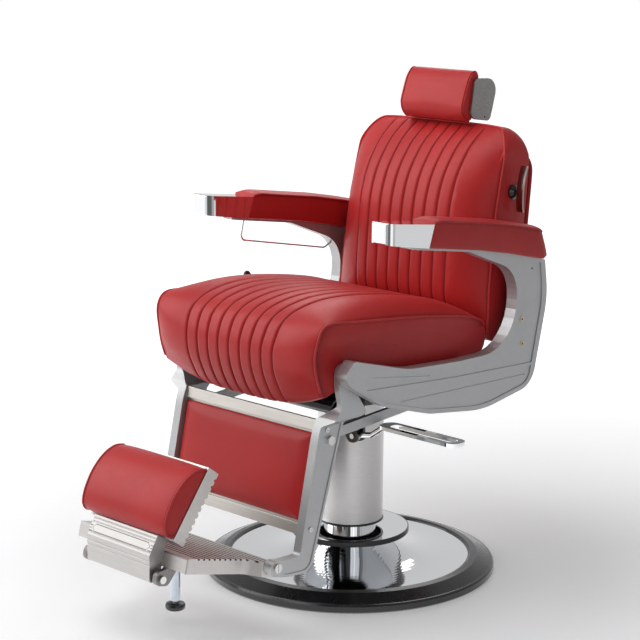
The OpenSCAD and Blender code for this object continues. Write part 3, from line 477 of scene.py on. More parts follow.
def plaque_lines(tree):
    """1 on the engraved border of the blank plaque, a long hexagon |q| < 0.8 with q the larger of
    |s| - 8 and |x| + |s| - 93, where s runs up the sloping face from the plaque's middle. Three
    short bars lie beyond each end of it."""
    slope = plaque_rise / np.linalg.norm(plaque_rise)
    out = np.array([slope[1], -slope[0]])
    where = place(tree)
    x = maths(tree, "ABSOLUTE", node(tree, "SeparateXYZ", {0: where}).outputs["X"])
    foot = (plaque_foot @ slope + plaque_up) * MM
    up = maths(tree, "SUBTRACT", measure(tree, where, (0, *slope)), foot)
    height = maths(tree, "ABSOLUTE", up)
    corner = maths(tree, "ADD", x, height)
    edge = maths(tree, "MAXIMUM", maths(tree, "SUBTRACT", height, plaque_tall * MM),
                 maths(tree, "SUBTRACT", corner, plaque_half * MM))
    border = maths(tree, "LESS_THAN", maths(tree, "ABSOLUTE", edge), engraved * MM)
    steps = maths(tree, "DIVIDE", maths(tree, "ADD", up, -bar_start * MM), bar_pitch * MM)
    bars = times(tree, maths(tree, "LESS_THAN", maths(tree, "FRACT", steps), bar_share),
                 maths(tree, "GREATER_THAN", corner, (plaque_half + 5) * MM),
                 maths(tree, "LESS_THAN", height, (plaque_tall + 1) * MM),
                 maths(tree, "LESS_THAN", x, (plaque_half + 14) * MM))
    off = maths(tree, "SUBTRACT", measure(tree, where, (0, *out)), plaque_foot @ out * MM)
    near = maths(tree, "LESS_THAN", maths(tree, "ABSOLUTE", off), 0.6 * MM)
    return times(tree, maths(tree, "MAXIMUM", border, bars), near)


print("a board of", board_ribs, "grooves and a plaque of", 2 * plaque_half, "mm")


# %% Brushed metal
def brushed(name, light, dark, rough, stretch, depth=0.0004, speckle=0.0, darkened=None):
    """Metal brushed along the axis whose stretch is smallest: thin lines of tone, roughness and
    height. The colour goes nearly black wherever the given function says 1."""
    made, tree, shader = finish(name, Metallic=1.0)
    where = place(tree)
    line = noise(tree, place(tree, stretch), 1.0, 6.0, 0.72)
    cloud = spread(tree, noise(tree, where, 11.0, 4.0, 0.6, 0.4), 0.45, 0.75)
    colour = tint(tree, spread(tree, line, 0.3, 0.7), dark, light)
    colour = tint(tree, times(tree, cloud, 0.45), colour, dark)
    if speckle:
        grain = spread(tree, noise(tree, where, 900.0, 2.0), 0.45, 0.6)
        colour = tint(tree, times(tree, grain, speckle), colour, [0.35 * c for c in dark])
    # nearly black where the given function says 1: the groove bottoms and the engraved lines
    if darkened:
        colour = tint(tree, times(tree, darkened(tree), 0.9), colour, (0.04, 0.036, 0.032))
    wire(tree, shader, Base_Color=colour, Normal=bump(tree, line, 0.25, depth),
         Roughness=spread(tree, line, 0.3, 0.7, rough - 0.05, rough + 0.09))
    return made


turned, across_x, fine_x = (40, 40, 1400), (9, 900, 900), (12, 700, 700)
pressed, drawn = (260, 260, 130), (60, 60, 500)
satin_steel = brushed("satin_steel", (0.57, 0.56, 0.555), (0.44, 0.435, 0.43), 0.33, turned)
brushed_strip = brushed("brushed_strip", (0.62, 0.59, 0.55), (0.46, 0.43, 0.40), 0.40, across_x)
alloy_light, alloy_dark = (0.60, 0.58, 0.56), (0.44, 0.42, 0.41)
tread_metal = brushed("brushed_aluminium", alloy_light, alloy_dark, 0.42, fine_x)
grooved_metal = brushed("grooved_aluminium", alloy_light, alloy_dark, 0.42, fine_x, darkened=grooves)
plaque_metal = brushed("plaque_aluminium", (0.52, 0.505, 0.49), (0.37, 0.36, 0.35), 0.42, fine_x,
                       darkened=plaque_lines)
grey_plate = brushed("grey_plate", (0.46, 0.44, 0.425), (0.31, 0.30, 0.29), 0.50, pressed,
                     0.0003, 0.6)
ear_metal = brushed("ear_metal", (0.33, 0.315, 0.305), (0.20, 0.19, 0.185), 0.45, pressed,
                    0.0003, 0.4)
zinc = brushed("zinc_tube", (0.56, 0.61, 0.66), (0.38, 0.43, 0.48), 0.30, drawn)
print("brushed metals ready")

# %% [markdown]
# The cast frames are sprayed silver, which is metal flakes in lacquer: each flake is a cell of a
# fine Voronoi pattern with its own tone and roughness. The black parts are paint or rubber, and
# only the grain under the gloss tells them apart.

# %% Silver paint
def silver_paint(name, light, dark, rough=0.40):
    """A casting sprayed silver: metal flakes, the casting's soft waviness and dust in patches."""
    made, tree, shader = finish(name, Metallic=0.55, Coat_Weight=0.12, Coat_Roughness=0.3)
    where = place(tree)
    flake = node(tree, "TexVoronoi", {"Vector": where, "Scale": 1500.0}).outputs["Color"]
    flake = node(tree, "SeparateXYZ", {0: flake}).outputs["X"]
    dust = spread(tree, noise(tree, where, 14.0, 4.0, 0.6), 0.5, 0.8)
    colour = tint(tree, flake, dark, light)
    colour = tint(tree, times(tree, dust, 0.25), colour, [0.8 * c for c in dark])
    peel = bump(tree, noise(tree, where, 260.0, 2.0), 0.12, 0.0005)
    wire(tree, shader, Base_Color=colour,
         Roughness=spread(tree, flake, 0, 1, rough - 0.07, rough + 0.08),
         Normal=bump(tree, noise(tree, where, 30.0, 3.0), 0.12, 0.002, peel))
    return made


silver = silver_paint("silver_casting", (0.55, 0.555, 0.56), (0.42, 0.425, 0.43))
print("silver paint ready")


# %% Black and rubber
def painted(name, colour, rough, grain, depth, coat=0.0):
    """Paint or rubber: one dark tone that is dustier in patches, over a fine grain."""
    made, tree, shader = finish(name, Coat_Weight=coat, Coat_Roughness=0.1)
    where = place(tree)
    dust = spread(tree, noise(tree, where, 7.0, 5.0, 0.65), 0.45, 0.75)
    wire(tree, shader, Base_Color=tint(tree, dust, colour, [0.8 * c + 0.008 for c in colour]),
         Roughness=spread(tree, dust, 0, 1, rough, rough + 0.12),
         Normal=bump(tree, noise(tree, where, grain, 3.0), 0.25, depth))
    return made


rubber = painted("rubber_black", (0.013, 0.013, 0.015), 0.26, 420.0, 0.0003, 0.2)
gloss_black = painted("gloss_black", (0.010, 0.010, 0.012), 0.16, 60.0, 0.0004, 0.3)
satin_black = painted("satin_black", (0.020, 0.020, 0.022), 0.34, 300.0, 0.0004)
iron_black = painted("cast_iron_black", (0.030, 0.030, 0.033), 0.50, 160.0, 0.0010)
print("paints and rubber ready")

# %% Plywood
plywood, tree, shader = finish("plywood", Roughness=0.6)
layers = noise(tree, place(tree, (3, 260, 12)), 1.0, 4.0, 0.6, 0.3)
wood = tint(tree, spread(tree, layers, 0.3, 0.7), (0.42, 0.27, 0.14), (0.30, 0.18, 0.09))
wire(tree, shader, Base_Color=wood, Normal=bump(tree, layers, 0.3, 0.0005))
print("plywood ready")

# %% [markdown]
# Each ready-made piece now gets its finish. A piece keeps its own mesh; only its material slot
# changes.

# %% Dress the ready-made pieces
wardrobe = {
    chrome: "base_dome base_disc pump_cylinder arm_cap_left arm_cap_right towel_bar pump_lever "
            "headrest_post",
    chrome_painted_shade: "lock_lever",
    steel_pin: "ram_piston leg_pivot_pins back_pivot_pins flip_pin link_bolts foot_bolts "
               "leg_screws foot_screw recline_boss",
    brass: "frame_screws",
    bronze: "thrust_ring",
    satin_steel: "column_cover",
    brushed_strip: "calf_strip_top calf_strip_bottom calf_panel",
    grey_plate: "headrest_plates",
    zinc: "support_tube",
    tread_metal: "flip_plate",
    ear_metal: "flip_ears",
    plaque_metal: "nose_block",
    grooved_metal: "footboard",
    silver: "side_frame_left side_frame_right leg_frame_left leg_frame_right link_bar_left "
            "link_bar_right",
    rubber: "base_ring disc_band cover_ring foot_disc",
    gloss_black: "seat_carrier lever_bracket lock_rosette",
    satin_black: "seat_pan back_frame headrest_socket recline_lever headrest_housing",
    iron_black: "base_plate",
    plywood: "back_board",
}
for material, names in wardrobe.items():
    for name in names.split():
        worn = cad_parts[name].data.materials
        worn.clear()
        worn.append(material)
print(sum(len(names.split()) for names in wardrobe.values()), "ready-made pieces dressed")

# %% [markdown]
# ## How the upholstery is made
# Every cushion starts from lines like those that shape its solid, on a much finer grid. Then it is
# stuffed: Blender's cloth is inflated while its seams, edges and underside are pinned, so each
# channel swells between its own seams. Movement is held under a limit of a few millimetres, so
# that the cushion stays where the frame keeps room for it. Piping and stitches come after that,
# because they stay sharp.

# %% Stuffing
stuffing_frames = 20


def stuff(piece, pinned, limit, pressure=4.0):
    """Inflates a piece with Cloth. pinned has one value, 0 to 1, per vertex. A point that the
    cloth moves by d ends up moved by limit * tanh(|d| / limit) along the same way, less its pinned
    share."""
    mesh = piece.data
    count = len(mesh.vertices)
    pinned = np.resize(pinned, count)
    group = piece.vertex_groups.new(name="pinned")
    for level in (0.25, 0.5, 0.75, 1.0):
        chosen = np.flatnonzero(np.abs(pinned - level) < 0.125)
        group.add(chosen.tolist(), level, "REPLACE")
    cloth = piece.modifiers.new("stuffing", "CLOTH")
    cloth.settings.quality = 4
    cloth.settings.mass = 0.3
    cloth.settings.tension_stiffness = cloth.settings.compression_stiffness = 12
    cloth.settings.shear_stiffness, cloth.settings.bending_stiffness = 4, 0.4
    cloth.settings.use_pressure = True
    cloth.settings.uniform_pressure_force = pressure
    cloth.settings.vertex_group_mass = "pinned"
    cloth.settings.effector_weights.gravity = 0
    cloth.collision_settings.use_collision = False
    cloth.point_cache.frame_start, cloth.point_cache.frame_end = 1, stuffing_frames
    for frame_number in range(1, stuffing_frames + 1):
        bpy.context.scene.frame_set(frame_number)
    swollen = piece.evaluated_get(bpy.context.evaluated_depsgraph_get()).data
    before, after = np.empty(count * 3), np.empty(count * 3)
    mesh.vertices.foreach_get("co", before)
    swollen.vertices.foreach_get("co", after)
    piece.modifiers.remove(cloth)
    bpy.context.scene.frame_set(1)
    move = (after - before).reshape(-1, 3)
    far = np.linalg.norm(move, axis=1, keepdims=True)
    cap = limit * MM
    move *= cap * np.tanh(far / cap) / np.maximum(far, 1e-9) * (1 - pinned[:, None])
    mesh.vertices.foreach_set("co", (before.reshape(-1, 3) + move).ravel())
    mesh.update()
    return float(np.linalg.norm(move, axis=1).max() / MM)


def mark(piece, **values):
    """Stores one number per vertex under each name, for the leather to read."""
    for name, value in values.items():
        layer = piece.data.attributes.new(name, "FLOAT", "POINT")
        full = np.zeros(len(piece.data.vertices))
        full[:np.size(value)] = np.ravel(value)
        layer.data.foreach_set("value", full)


def upholster(piece, body, solid=None, leather_used=None):
    """Rides the piece on its body, hides the solid that it stands for, and gives it its leather."""
    piece.data.materials.append(leather_used or red)
    smooth = piece.modifiers.new("smooth", "SUBSURF")
    smooth.levels = smooth.render_levels = 1
    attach(piece, body)
    if solid:
        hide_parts(solid)


def piping(name, line, radius, body, closed=False, up=(1, 0, 0)):
    """A cord in its own strip of leather, along a line."""
    upholster(tube(name, line, radius, closed, up), body, leather_used=piping_red_highlit)


print("stuffing helpers ready")

# %% [markdown]
# A cushion's end is a separate side panel, sewn to the face with the piping between. Its rings
# shrink towards its centre, and it bulges as a shallow dome. The first rings beside the piping
# carry a painted shadow: the dark line that shade draws along the seam.

# %% Side panels
panel_levels = np.array([0.985, 0.94, 0.86, 0.74, 0.58, 0.38, 0.16])
panel = len(panel_levels)


def side_panels(grid, centre, bulge, width):
    """Closes each end of a skin with a padded side panel: rings that shrink to the centre (y, z)
    by s, at x = width(z) + bulge * (1 - s^2)."""
    s = panel_levels[:, None, None]
    middle = np.array([0, *centre])
    ends = []
    for ring in (grid[0], grid[-1]):
        sideways = np.sign(ring[:, :1].mean())
        rings = middle + (ring - middle) * s
        rings[..., 0] = sideways * (width(rings[..., 2]) + bulge * (1 - s[..., 0]**2))
        ends.append(rings)
    return np.concatenate([ends[0][::-1], grid, ends[1]])


def draw_rim_shadow(closeness, from_edge, first, last):
    """Writes a painted shadow, the dark line beside the piping, from the first to the last
    column: exp(-((d - 3.6) / 1.6)^2) on the face, d from its edge, and the first rings of the
    panel."""
    line = 0.95 * np.exp(-((np.ravel(from_edge) - 3.6) / 1.6)**2)[:, None]
    inner = closeness[panel:-panel, first:last]
    closeness[panel:-panel, first:last] = np.maximum(inner, line)
    # painted shadow on the panel's first rings beside the piping
    closeness[[panel - 1, -panel], first:last] = 0.95
    closeness[[panel - 2, 1 - panel], first:last] = 0.35


def stuff_channels(piece, grid, gap, live, from_edge, edge, rim, held, spacing):
    """Stuffs a cushion with channels. Its seams are painted dark as shade, by exp(-(gap / 1.7)^2),
    with gap the way to the nearest seam. Pinned are the seams, the places nearer than edge to the
    cushion's edge, the columns outside held and, in part, the panels. Columns lie spacing metres
    apart."""
    closeness, pins = np.zeros(grid.shape[:2]), np.zeros(grid.shape[:2])
    # painted shade along each seam, which also pins the cloth there
    closeness[panel:-panel, :live.shape[1]] = np.exp(-(gap / 1.7)**2) * live
    draw_rim_shadow(closeness, from_edge, *rim)
    pins[panel:-panel] = np.maximum(closeness[panel:-panel] * 0.9, (from_edge < edge) * 1.0)
    pins[:, :held[0]] = pins[:, held[1]:] = 1
    pins[:panel] = pins[-panel:] = 0.75
    swell = stuff(piece, pins.ravel(), 5.0)
    columns = np.arange(grid.shape[1]) * spacing
    mark(piece, seam=closeness, along=np.broadcast_to(columns, grid.shape[:2]))
    print(piece.name, grid.shape, "swelled by", round(swell, 1), "mm")


print("side panels have", panel, "rings")

# %% [markdown]
# ## Seat
# The seat is one long cushion: a plain bolster at each side and nine seams between, which run from
# the lower front edge over the nose to the back. Except at the back, the channels lie a little
# lower than the bolsters, and the front lip hangs lowest in its middle. The grid's columns follow
# the side line `seat_side`, and its rows are crowded where the seams are.

# %% Seat measures
seat_half, seat_dish = 255.0, 3.0
channel_pitch, channels = 35.0, 8
flat_half = channel_pitch * channels / 2
seams = np.linspace(-flat_half, flat_half, channels + 1)
seat_side = [(183, 556), (180, 576), (164, 600), (112, 617), (45, 628), (-65, 641.5),
             (-170, 650.5), (-250, 657), (-318, 664), (-349, 659), (-364, 640), (-370, 605),
             (-364, 557), (-350, 515), (-342, 507), (-331, 506), (-320, 511)]
seat_middle = [(183, 556), (181, 584), (160, 613), (116, 638), (45, 661), (-65, 680),
               (-170, 691), (-246, 691), (-312, 680), (-353, 663), (-376, 637), (-386, 598),
               (-383, 552), (-366, 505), (-350, 480), (-333, 467), (-320, 472)]
print(len(seams), "seams, and the side and middle lines of the seat")


# %% Rows between seams
def rows_across(half, edge=(1, 3, 7, 14, 24, 36, 50, 66, 84)):
    """Places across a channelled cushion: close together at the piping and beside each seam."""
    near = np.array([-9, -5.5, -3, -1.3, 0, 1.3, 3, 5.5, 9, 13])
    inner = (seams[:, None] + near).ravel()
    outer = half - np.array((0,) + edge)
    every = np.concatenate([-outer, inner, outer])
    every = np.sort(every[np.abs(every) <= half])
    keep = np.concatenate([[True], np.diff(every) > 0.9])
    return every[keep]


def seam_distance(x):
    """How far a place across the cushion is from the nearest seam."""
    return np.abs(np.asarray(x)[..., None] - seams).min(-1)


def cusp(gap, depth):
    """How far a seam pulls the leather in: depth * (1 - gap / 6.5)^2 within 6.5 mm of it."""
    return depth * np.clip(1 - gap / 6.5, 0, 1)**2


def between(side, middle, share):
    """Rings that lie between two side views by a share."""
    return side + (middle - side) * share[..., None]


def unit_steps(line, axis):
    """Unit vectors along a line."""
    step = np.gradient(line, axis=axis)
    return step / np.linalg.norm(step, axis=-1, keepdims=True)


print(len(rows_across(seat_half)), "rows across the seat")

# %% Seat shape
# how many places a ring has over the top, and along the underside
seat_over, seat_under = 126, 14


def seat_width(z):
    """Half the seat's width at a height: the piping's, and 3 % less under it."""
    return seat_half * (1 - 0.03 * (1 - ramp(z, 585, 640)))


def seat_grid():
    """Rows across the seat. Each ring lies between the two side views, by the share 1 - u^n of the
    way from the piping to the middle, less the channels' dip and a cusp at each seam."""
    x = rows_across(seat_half)[:, None]
    both = curve(np.hstack([seat_side, seat_middle]), seat_over)
    side, middle = both[:, :2], both[:, 2:]
    u = np.minimum(np.abs(x) / seat_half, 1)
    ring = between(side, middle, 1 - u**(3 + 5 * ramp(side[:, 1], 515, 575)))
    step = unit_steps(ring, 1)
    gap = seam_distance(x)
    live = 1 - ramp(ring[..., 0], 110, 150)
    channel = 1 - ramp(np.abs(x), flat_half, seat_half - 60)
    sunk = seat_dish * channel * ramp(side[:, 1], 600, 640)
    sunk = sunk + cusp(gap, 4.2) * live
    ring = ring - np.stack([step[..., 1], -step[..., 0]], axis=-1) * sunk[..., None]
    under = np.broadcast_to(np.linspace(-300, 176, seat_under), (len(x), seat_under))
    ring_y = np.hstack([ring[..., 0], under])
    ring_z = np.hstack([ring[..., 1], np.full(under.shape, 524.0)])
    x_here = x * seat_width(ring_z) / seat_half
    return np.stack([x_here, ring_y, ring_z], axis=-1), seat_half * (1 - u), gap, live


grid, from_edge, gap, live = seat_grid()
full = side_panels(grid, (-90, 588), 3.0, seat_width)
seat = skin("seat_upholstery", full)
stuff_channels(seat, full, gap, live, from_edge, 2.5, rim=(6, 122), held=(3, 118), spacing=0.0068)
upholster(seat, "chair", "seat_cushion")

# %% [markdown]
# Piping is a cord sewn into a strip of leather and caught in the seam between the top and the side
# panel. It is made as a thin tube that follows the edge of the grid, with its own leather, a
# lighter copy of the red that paints the highlight along the cord.

# %% Seat piping
cord = 2.6
for name, ring, sideways in (("seat_piping_right", grid[0], -1), ("seat_piping_left", grid[-1], 1)):
    line = evenly(ring[6:117], 150) + np.array([sideways * 0.6, 0, 0])
    piping(name, line, cord, "chair")
print("seat piping", 2 * cord, "mm thick")

# %% [markdown]
# ## Back
# The back is a box cushion with rounded upper corners: a front with the same nine seams, a
# border about a hand deep round its sides and top, and piping where they meet. It is drawn upright
# in its own plane and then leaned back by the lean of the frame.

# %% Back measures
back_lean, back_foot = math.radians(6.6), np.array([207.0, 610.0])
back_half, back_deep, back_corner = 238.0, 103.0, 58.0
back_side = [(16, -68), (5, -60), (0, -48), (-3, -28), (-3, -10), (-4, 50), (-4, 140), (-2, 222),
             (2, 262), (6, 300), (11, 338), (17, 372), (34, 410), (62, 422), (88, 410), (101, 384)]
back_middle = [(16, -68), (5, -61), (-7, -47), (-17, -30), (-40, -4), (-60, 36), (-68, 130),
               (-70, 215), (-65, 262), (-54, 303), (-33, 345), (-6, 382), (40, 421), (66, 424),
               (88, 411), (101, 384)]


def leaned(p, lean, foot):
    """Turns points (x, depth, height) by a lean about the x axis and puts them on a foot (y, z):
    (x, foot y + depth cos + height sin, foot z - depth sin + height cos)."""
    c, s = math.cos(lean), math.sin(lean)
    y, z = p[..., 1], p[..., 2]
    return np.stack([p[..., 0], foot[0] + y * c + z * s, foot[1] - y * s + z * c], axis=-1)


def lean_back(p):
    """Points of the back's own plane, where the back stands."""
    return leaned(p, back_lean, back_foot)


def back_width(z):
    """Half the back's width, which narrows a little upwards."""
    return back_half - 3 * ramp(z, -20, 60) - 0.022 * np.maximum(z, 0)


print("the back leans by", round(math.degrees(back_lean), 1), "degrees")

# %% Back corners
back_over, back_rear = 124, 18
turn_at = 1 - back_corner / back_half


def corner_drop(side, u):
    """How much a place is lowered at the rounded corners: 58 * (1 - sqrt(1 - t^2)), a quarter of a
    circle, for the top only and less towards the rear."""
    t = np.clip((u - turn_at) / (1 - turn_at), 0, 1)
    drop = back_corner * (1 - np.sqrt(np.maximum(1 - t**2, 0))) * ramp(side[:, 1], 322, 426)
    return drop * (1 - 0.4 * ramp(side[:, 0], 40, 98))


def side_depth(side, drop):
    """The side line's depth for lowered places. In front a place takes the depth at its new
    height, and the top behind it is stretched to meet it."""
    rise = int(np.argmax(side[:, 1] > 405))
    front = np.interp(side[:, 1] - drop, side[:rise + 1, 1], side[:rise + 1, 0])
    stretch = (back_deep - front[:, rise]) / (back_deep - side[rise, 0])
    top = back_deep - (back_deep - side[:, 0]) * stretch[:, None]
    return np.where(np.arange(back_over) <= rise, front, top)


print("corners", back_corner, "mm round")


# %% Back shape
def back_grid():
    """Rings between two side views as on the seat, by the share 1 - u^4.5 of the way from the
    piping to the middle, lowered at the corners. The channels run straight up, and the bolsters
    beside them narrow with the back."""
    inner = rows_across(turn_at * back_half, edge=(2, 8, 16, 26))
    round_corner = np.sin(np.linspace(0.06, 1, 26) * np.pi / 2)
    corner_rows = back_half * (turn_at + (1 - turn_at) * round_corner)
    x = np.concatenate([-corner_rows[::-1], inner, corner_rows])[:, None]
    both = curve(np.hstack([back_side, back_middle]), back_over)
    side, middle = both[:, :2], both[:, 2:]
    u = np.minimum(np.abs(x) / back_half, 1)
    drop = corner_drop(side, u)
    edge_line = np.stack([side_depth(side, drop), np.broadcast_to(side[:, 1], drop.shape)], axis=-1)
    ring = between(edge_line, middle, 1 - u**4.5)
    step = unit_steps(middle, 0)
    gap = seam_distance(x)
    live = np.broadcast_to(1 - ramp(side[:, 0], 28, 38), drop.shape)
    valley = cusp(gap, 4.0) * live
    ring_y = ring[..., 0] + step[:, 1] * valley
    ring_z = ring[..., 1] - step[:, 0] * valley - drop
    rear = np.broadcast_to(np.linspace(340, -44, back_rear), (len(x), back_rear))
    last = np.ones((len(x), 1))
    ring_y = np.hstack([ring_y, np.full(rear.shape, back_deep - 0.5), (back_deep - 8) * last])
    ring_z = np.hstack([ring_z, rear, -50 * last])
    narrow = (back_width(ring_z) - flat_half) / (back_half - flat_half)
    over = np.maximum(np.abs(x) - flat_half, 0) * narrow
    across = np.sign(x) * (np.minimum(np.abs(x), flat_half) + over)
    return np.stack([across, ring_y, ring_z], axis=-1), u, gap, live


grid, edge_share, gap, live = back_grid()
full = side_panels(grid, (52, 170), 3.5, back_width)
cushion = skin("back_upholstery", lean_back(full))
stuff_channels(cushion, full, gap, live, back_half * (1 - edge_share), 3.57, rim=(4, 104),
               held=(2, 120), spacing=0.0052)
upholster(cushion, "backrest", "back_cushion")

# %% Back piping
# over the top the piping lies this deep, and at the corners it comes forward by so many columns
top_depth, corner_run = 38.5, 7
side_line = curve(np.hstack([back_side, back_middle]), back_over)
edge = int(np.argmin(np.abs(side_line[:, 0] - top_depth)))
column = edge - corner_run * np.clip((edge_share.ravel() - turn_at) / (1 - turn_at), 0, 1)**2
low = np.floor(column).astype(int)
share = (column - low)[:, None]
every_row = np.arange(len(grid))
over_top = grid[every_row, low] * (1 - share) + grid[every_row, low + 1] * share
left_side, right_side = (grid[row, 4:edge - corner_run] for row in (-1, 0))
line = np.vstack([left_side, over_top[::-1], right_side[::-1]])
line = evenly(line, 260) + np.array([0, -1.0, 0.8])
piping("back_piping", lean_back(line), cord, "backrest", up=(0.05, 1, 0.1))
print("back piping ready")

# %% [markdown]
# ## Rear cover
# The back's rear is a separate upholstered board with rounded corners and piping round its rim.
# Its shape is a rounded rectangle that narrows to the top, drawn as a ring and shrunk towards its
# middle; the height over the board grows as 1 - s^6, so it is nearly flat and falls away quickly
# at the rim.

# %% Rear cover outline
def rounded_plate(foot, top, low, high, radii, count=112):
    """The ring (x, z) of a symmetrical plate with four corners, foot and top its half widths. At
    each corner the centre of an arc of radius r is r / sin(half the corner's angle) away."""
    corners = np.array([(-foot, low), (foot, low), (top, high), (-top, high)], float)
    ring = []
    for corner, before, after, r in zip(corners, np.roll(corners, 1, 0), np.roll(corners, -1, 0),
                                        np.repeat(radii, 2)):
        before, after = ((end - corner) / np.linalg.norm(end - corner) for end in (before, after))
        half = math.acos(np.clip(before @ after, -1, 1)) / 2
        inwards = (before + after) / np.linalg.norm(before + after)
        middle = corner + inwards * r / math.sin(half)
        start = corner + before * r / math.tan(half) - middle
        turn = (math.pi - 2 * half) * np.linspace(0, 1, 9)
        c, s = np.cos(turn), np.sin(turn)
        arc = np.stack([start[0] * c - start[1] * s, start[0] * s + start[1] * c], axis=1)
        ring.append(middle + arc)
    ring = np.vstack(ring)
    return evenly(np.vstack([ring, ring[:1]]), count + 1)[:-1]


ring = rounded_plate(232, 226, -30, 372, (20, 46))
print("rear cover outline of", len(ring), "points")

# %% Rear cover
board_y, cover_side, cover_swell = 109.3, 8.5, 7.5
middle = np.array([0.0, 171.0])
share = np.array([1, 1, 1, 0.99, 0.965, 0.92, 0.85, 0.74, 0.6, 0.42, 0.2])[:, None]
lift = np.concatenate([[0, 4, cover_side], cover_side + cover_swell * (1 - share[3:, 0]**6)])
flat = middle + (ring - middle) * share[..., None]
depth = np.broadcast_to(board_y + lift[:, None], flat.shape[:2])
cover = np.stack([flat[..., 0], depth, flat[..., 1]], axis=-1)
cover_piece = skin("back_cover_upholstery", lean_back(cover))
pinned = np.zeros(cover.shape[:2])
pinned[:3] = 1
swell = stuff(cover_piece, pinned.ravel(), 2.5, 2.0)
# painted shade: the leather darkens just inside the piping round the rim
rim_shade = 0.6 * np.exp(-((1 - share) / 0.02)**2)
mark(cover_piece, seam=np.broadcast_to(rim_shade, cover.shape[:2]))
upholster(cover_piece, "backrest", "back_cover")
rim = np.insert(middle + (ring - middle) * 0.995, 1, board_y + 8.3, axis=1)
piping("cover_piping", lean_back(rim), 2.4, "backrest", closed=True, up=(0.03, 1, 0.1))
print("rear cover swelled by", round(swell, 1), "mm")

# %% [markdown]
# ## Arm pads
# An arm pad is a long roll on a board. In section its sides bulge a little, a thin lip of doubled
# leather overhangs them at nine tenths of the height, and the top is crowned. The section is
# carried along the arm; it shears as it goes, so that the front end meets the slanting end of the
# chrome cap, and both the lip and the side round off at the rear end.

# %% Arm pad lines
arm_foot = [(-93, 803), (84, 778), (182, 760), (310, 732)]
arm_top = [(-74, 857), (-52, 860), (21, 850), (133, 835), (222, 819), (290, 805), (298, 803)]
pad_section = [(-0.93, 0), (-0.99, 0.06), (-1.02, 0.3), (-1.01, 0.6), (-0.99, 0.86),
               (-0.975, 0.915), (-0.995, 0.93), (-1.055, 0.938), (-1.08, 0.952), (-1.08, 0.975),
               (-1.055, 0.992), (-1.0, 1.008), (-0.9, 1.026), (-0.72, 1.048), (-0.4, 1.074),
               (0, 1.085)]
lip_seam = 0.927
arm_middle, arm_half = 282.5, 31.5
print("arm pads", 2 * arm_half, "mm wide")


# %% Arm pads
def arm_grid():
    """point = (middle + side * half * width, foot y + lean * rise, foot z + height * rise), where
    width and height round off over the last 24 mm."""
    left = np.array(pad_section)
    under = np.stack([np.linspace(0.7, -0.7, 7), np.zeros(7)], axis=1)
    side, rise = np.vstack([left, left[-2::-1] * [-1, 1], under]).T
    rear_end = 322 - 22 * (1 - np.sin(np.linspace(0.05, 1, 12) * np.pi / 2))
    y_foot = np.concatenate([[-93, -92.2, -90], np.linspace(-85, 296, 52), rear_end])
    t = (y_foot + 93) / 415
    y_top = -74 + t * 372
    foot = np.interp(y_foot, *np.array(arm_foot).T) + 5 * ramp(t, 0.96, 1)
    top = np.interp(y_top, *np.array(arm_top).T)
    end = np.sqrt(np.maximum(1 - ramp(y_foot, 298, 323)**2, 0.02))[:, None]
    width = (0.86 + 0.14 * end) * (1 - 0.015 * (y_foot[:, None] < -91))
    x = arm_middle + side * arm_half * width
    y = y_foot[:, None] + (y_top - y_foot)[:, None] * np.minimum(rise, 1)
    z = foot[:, None] + (top - foot)[:, None] * rise * (0.955 + 0.045 * end)
    return np.stack([x, y, z], axis=-1), rise


pad_grid, section_rise = arm_grid()
shape = pad_grid.shape[:2]
# painted shade along the lip's seam, under its overhang
lip_seam_shade = np.broadcast_to(np.exp(-((section_rise - lip_seam) / 0.014)**2), shape)
length = np.broadcast_to(np.arange(shape[0])[:, None] * 0.007, shape)
pinned = np.zeros(shape)
pinned[:, section_rise < 0.05] = 1
pinned[:, (section_rise > 0.88) & (section_rise < 1.0)] = 0.9
pinned[:2] = 1
for name, sign in (("left", 1), ("right", -1)):
    pad = skin("arm_pad_upholstery_" + name, pad_grid * [sign, 1, 1])
    swell = stuff(pad, pinned.ravel(), 2.0, 3.0)
    mark(pad, seam=lip_seam_shade, along=length)
    upholster(pad, "chair", "arm_pad_" + name)
print("arm pads", pad_grid.shape, "swelled by", round(swell, 1), "mm")

# %% [markdown]
# ## Calf pad
# Thin foam on a board between the two leg frames. The leather is wrapped round all four edges, so
# the face is flat in the middle and rolls off within a finger's width at the rim.

# %% Calf pad shape
calf_lean, calf_top = math.radians(11.8), np.array([-328.0, 421.0])
calf_tall, calf_half = 196.0, 203.6


def roll(t, width):
    """0 at both ends of 0..1 and 1 beyond the given width, as a quarter of a circle between."""
    from_edge = np.minimum(t, 1 - t) / width
    return np.sqrt(np.clip(1 - (1 - np.clip(from_edge, 0, 1))**2, 0, 1))


def dome(t):
    """sqrt(4 t (1 - t)): 0 at both ends and 1 in the middle."""
    return (4 * t * (1 - t))**0.5


across = np.concatenate([[0, 0.002, 0.006, 0.012, 0.022, 0.036], np.linspace(0.055, 0.945, 36),
                         [0.964, 0.978, 0.988, 0.994, 0.998, 1]])[:, None]
down = np.concatenate([[0, 0.006, 0.016, 0.03, 0.05], np.linspace(0.08, 0.92, 22),
                       [0.95, 0.97, 0.984, 0.994, 1]])[None, :]
front_y = 8.2 - 9.5 * roll(across, 0.035) * roll(down, 0.07) - 2.2 * dome(across) * dome(down)
face = np.stack([2 * calf_half * (across - 0.5) + 0 * down, front_y,
                 3 - calf_tall + (calf_tall - 5) * down + 0 * across], axis=-1)
rear = face[:, [-1, 0]] * [1, 0, 1] + [0, 9.8, 0]
full = np.concatenate([face, rear], axis=1)
print("calf pad", full.shape)

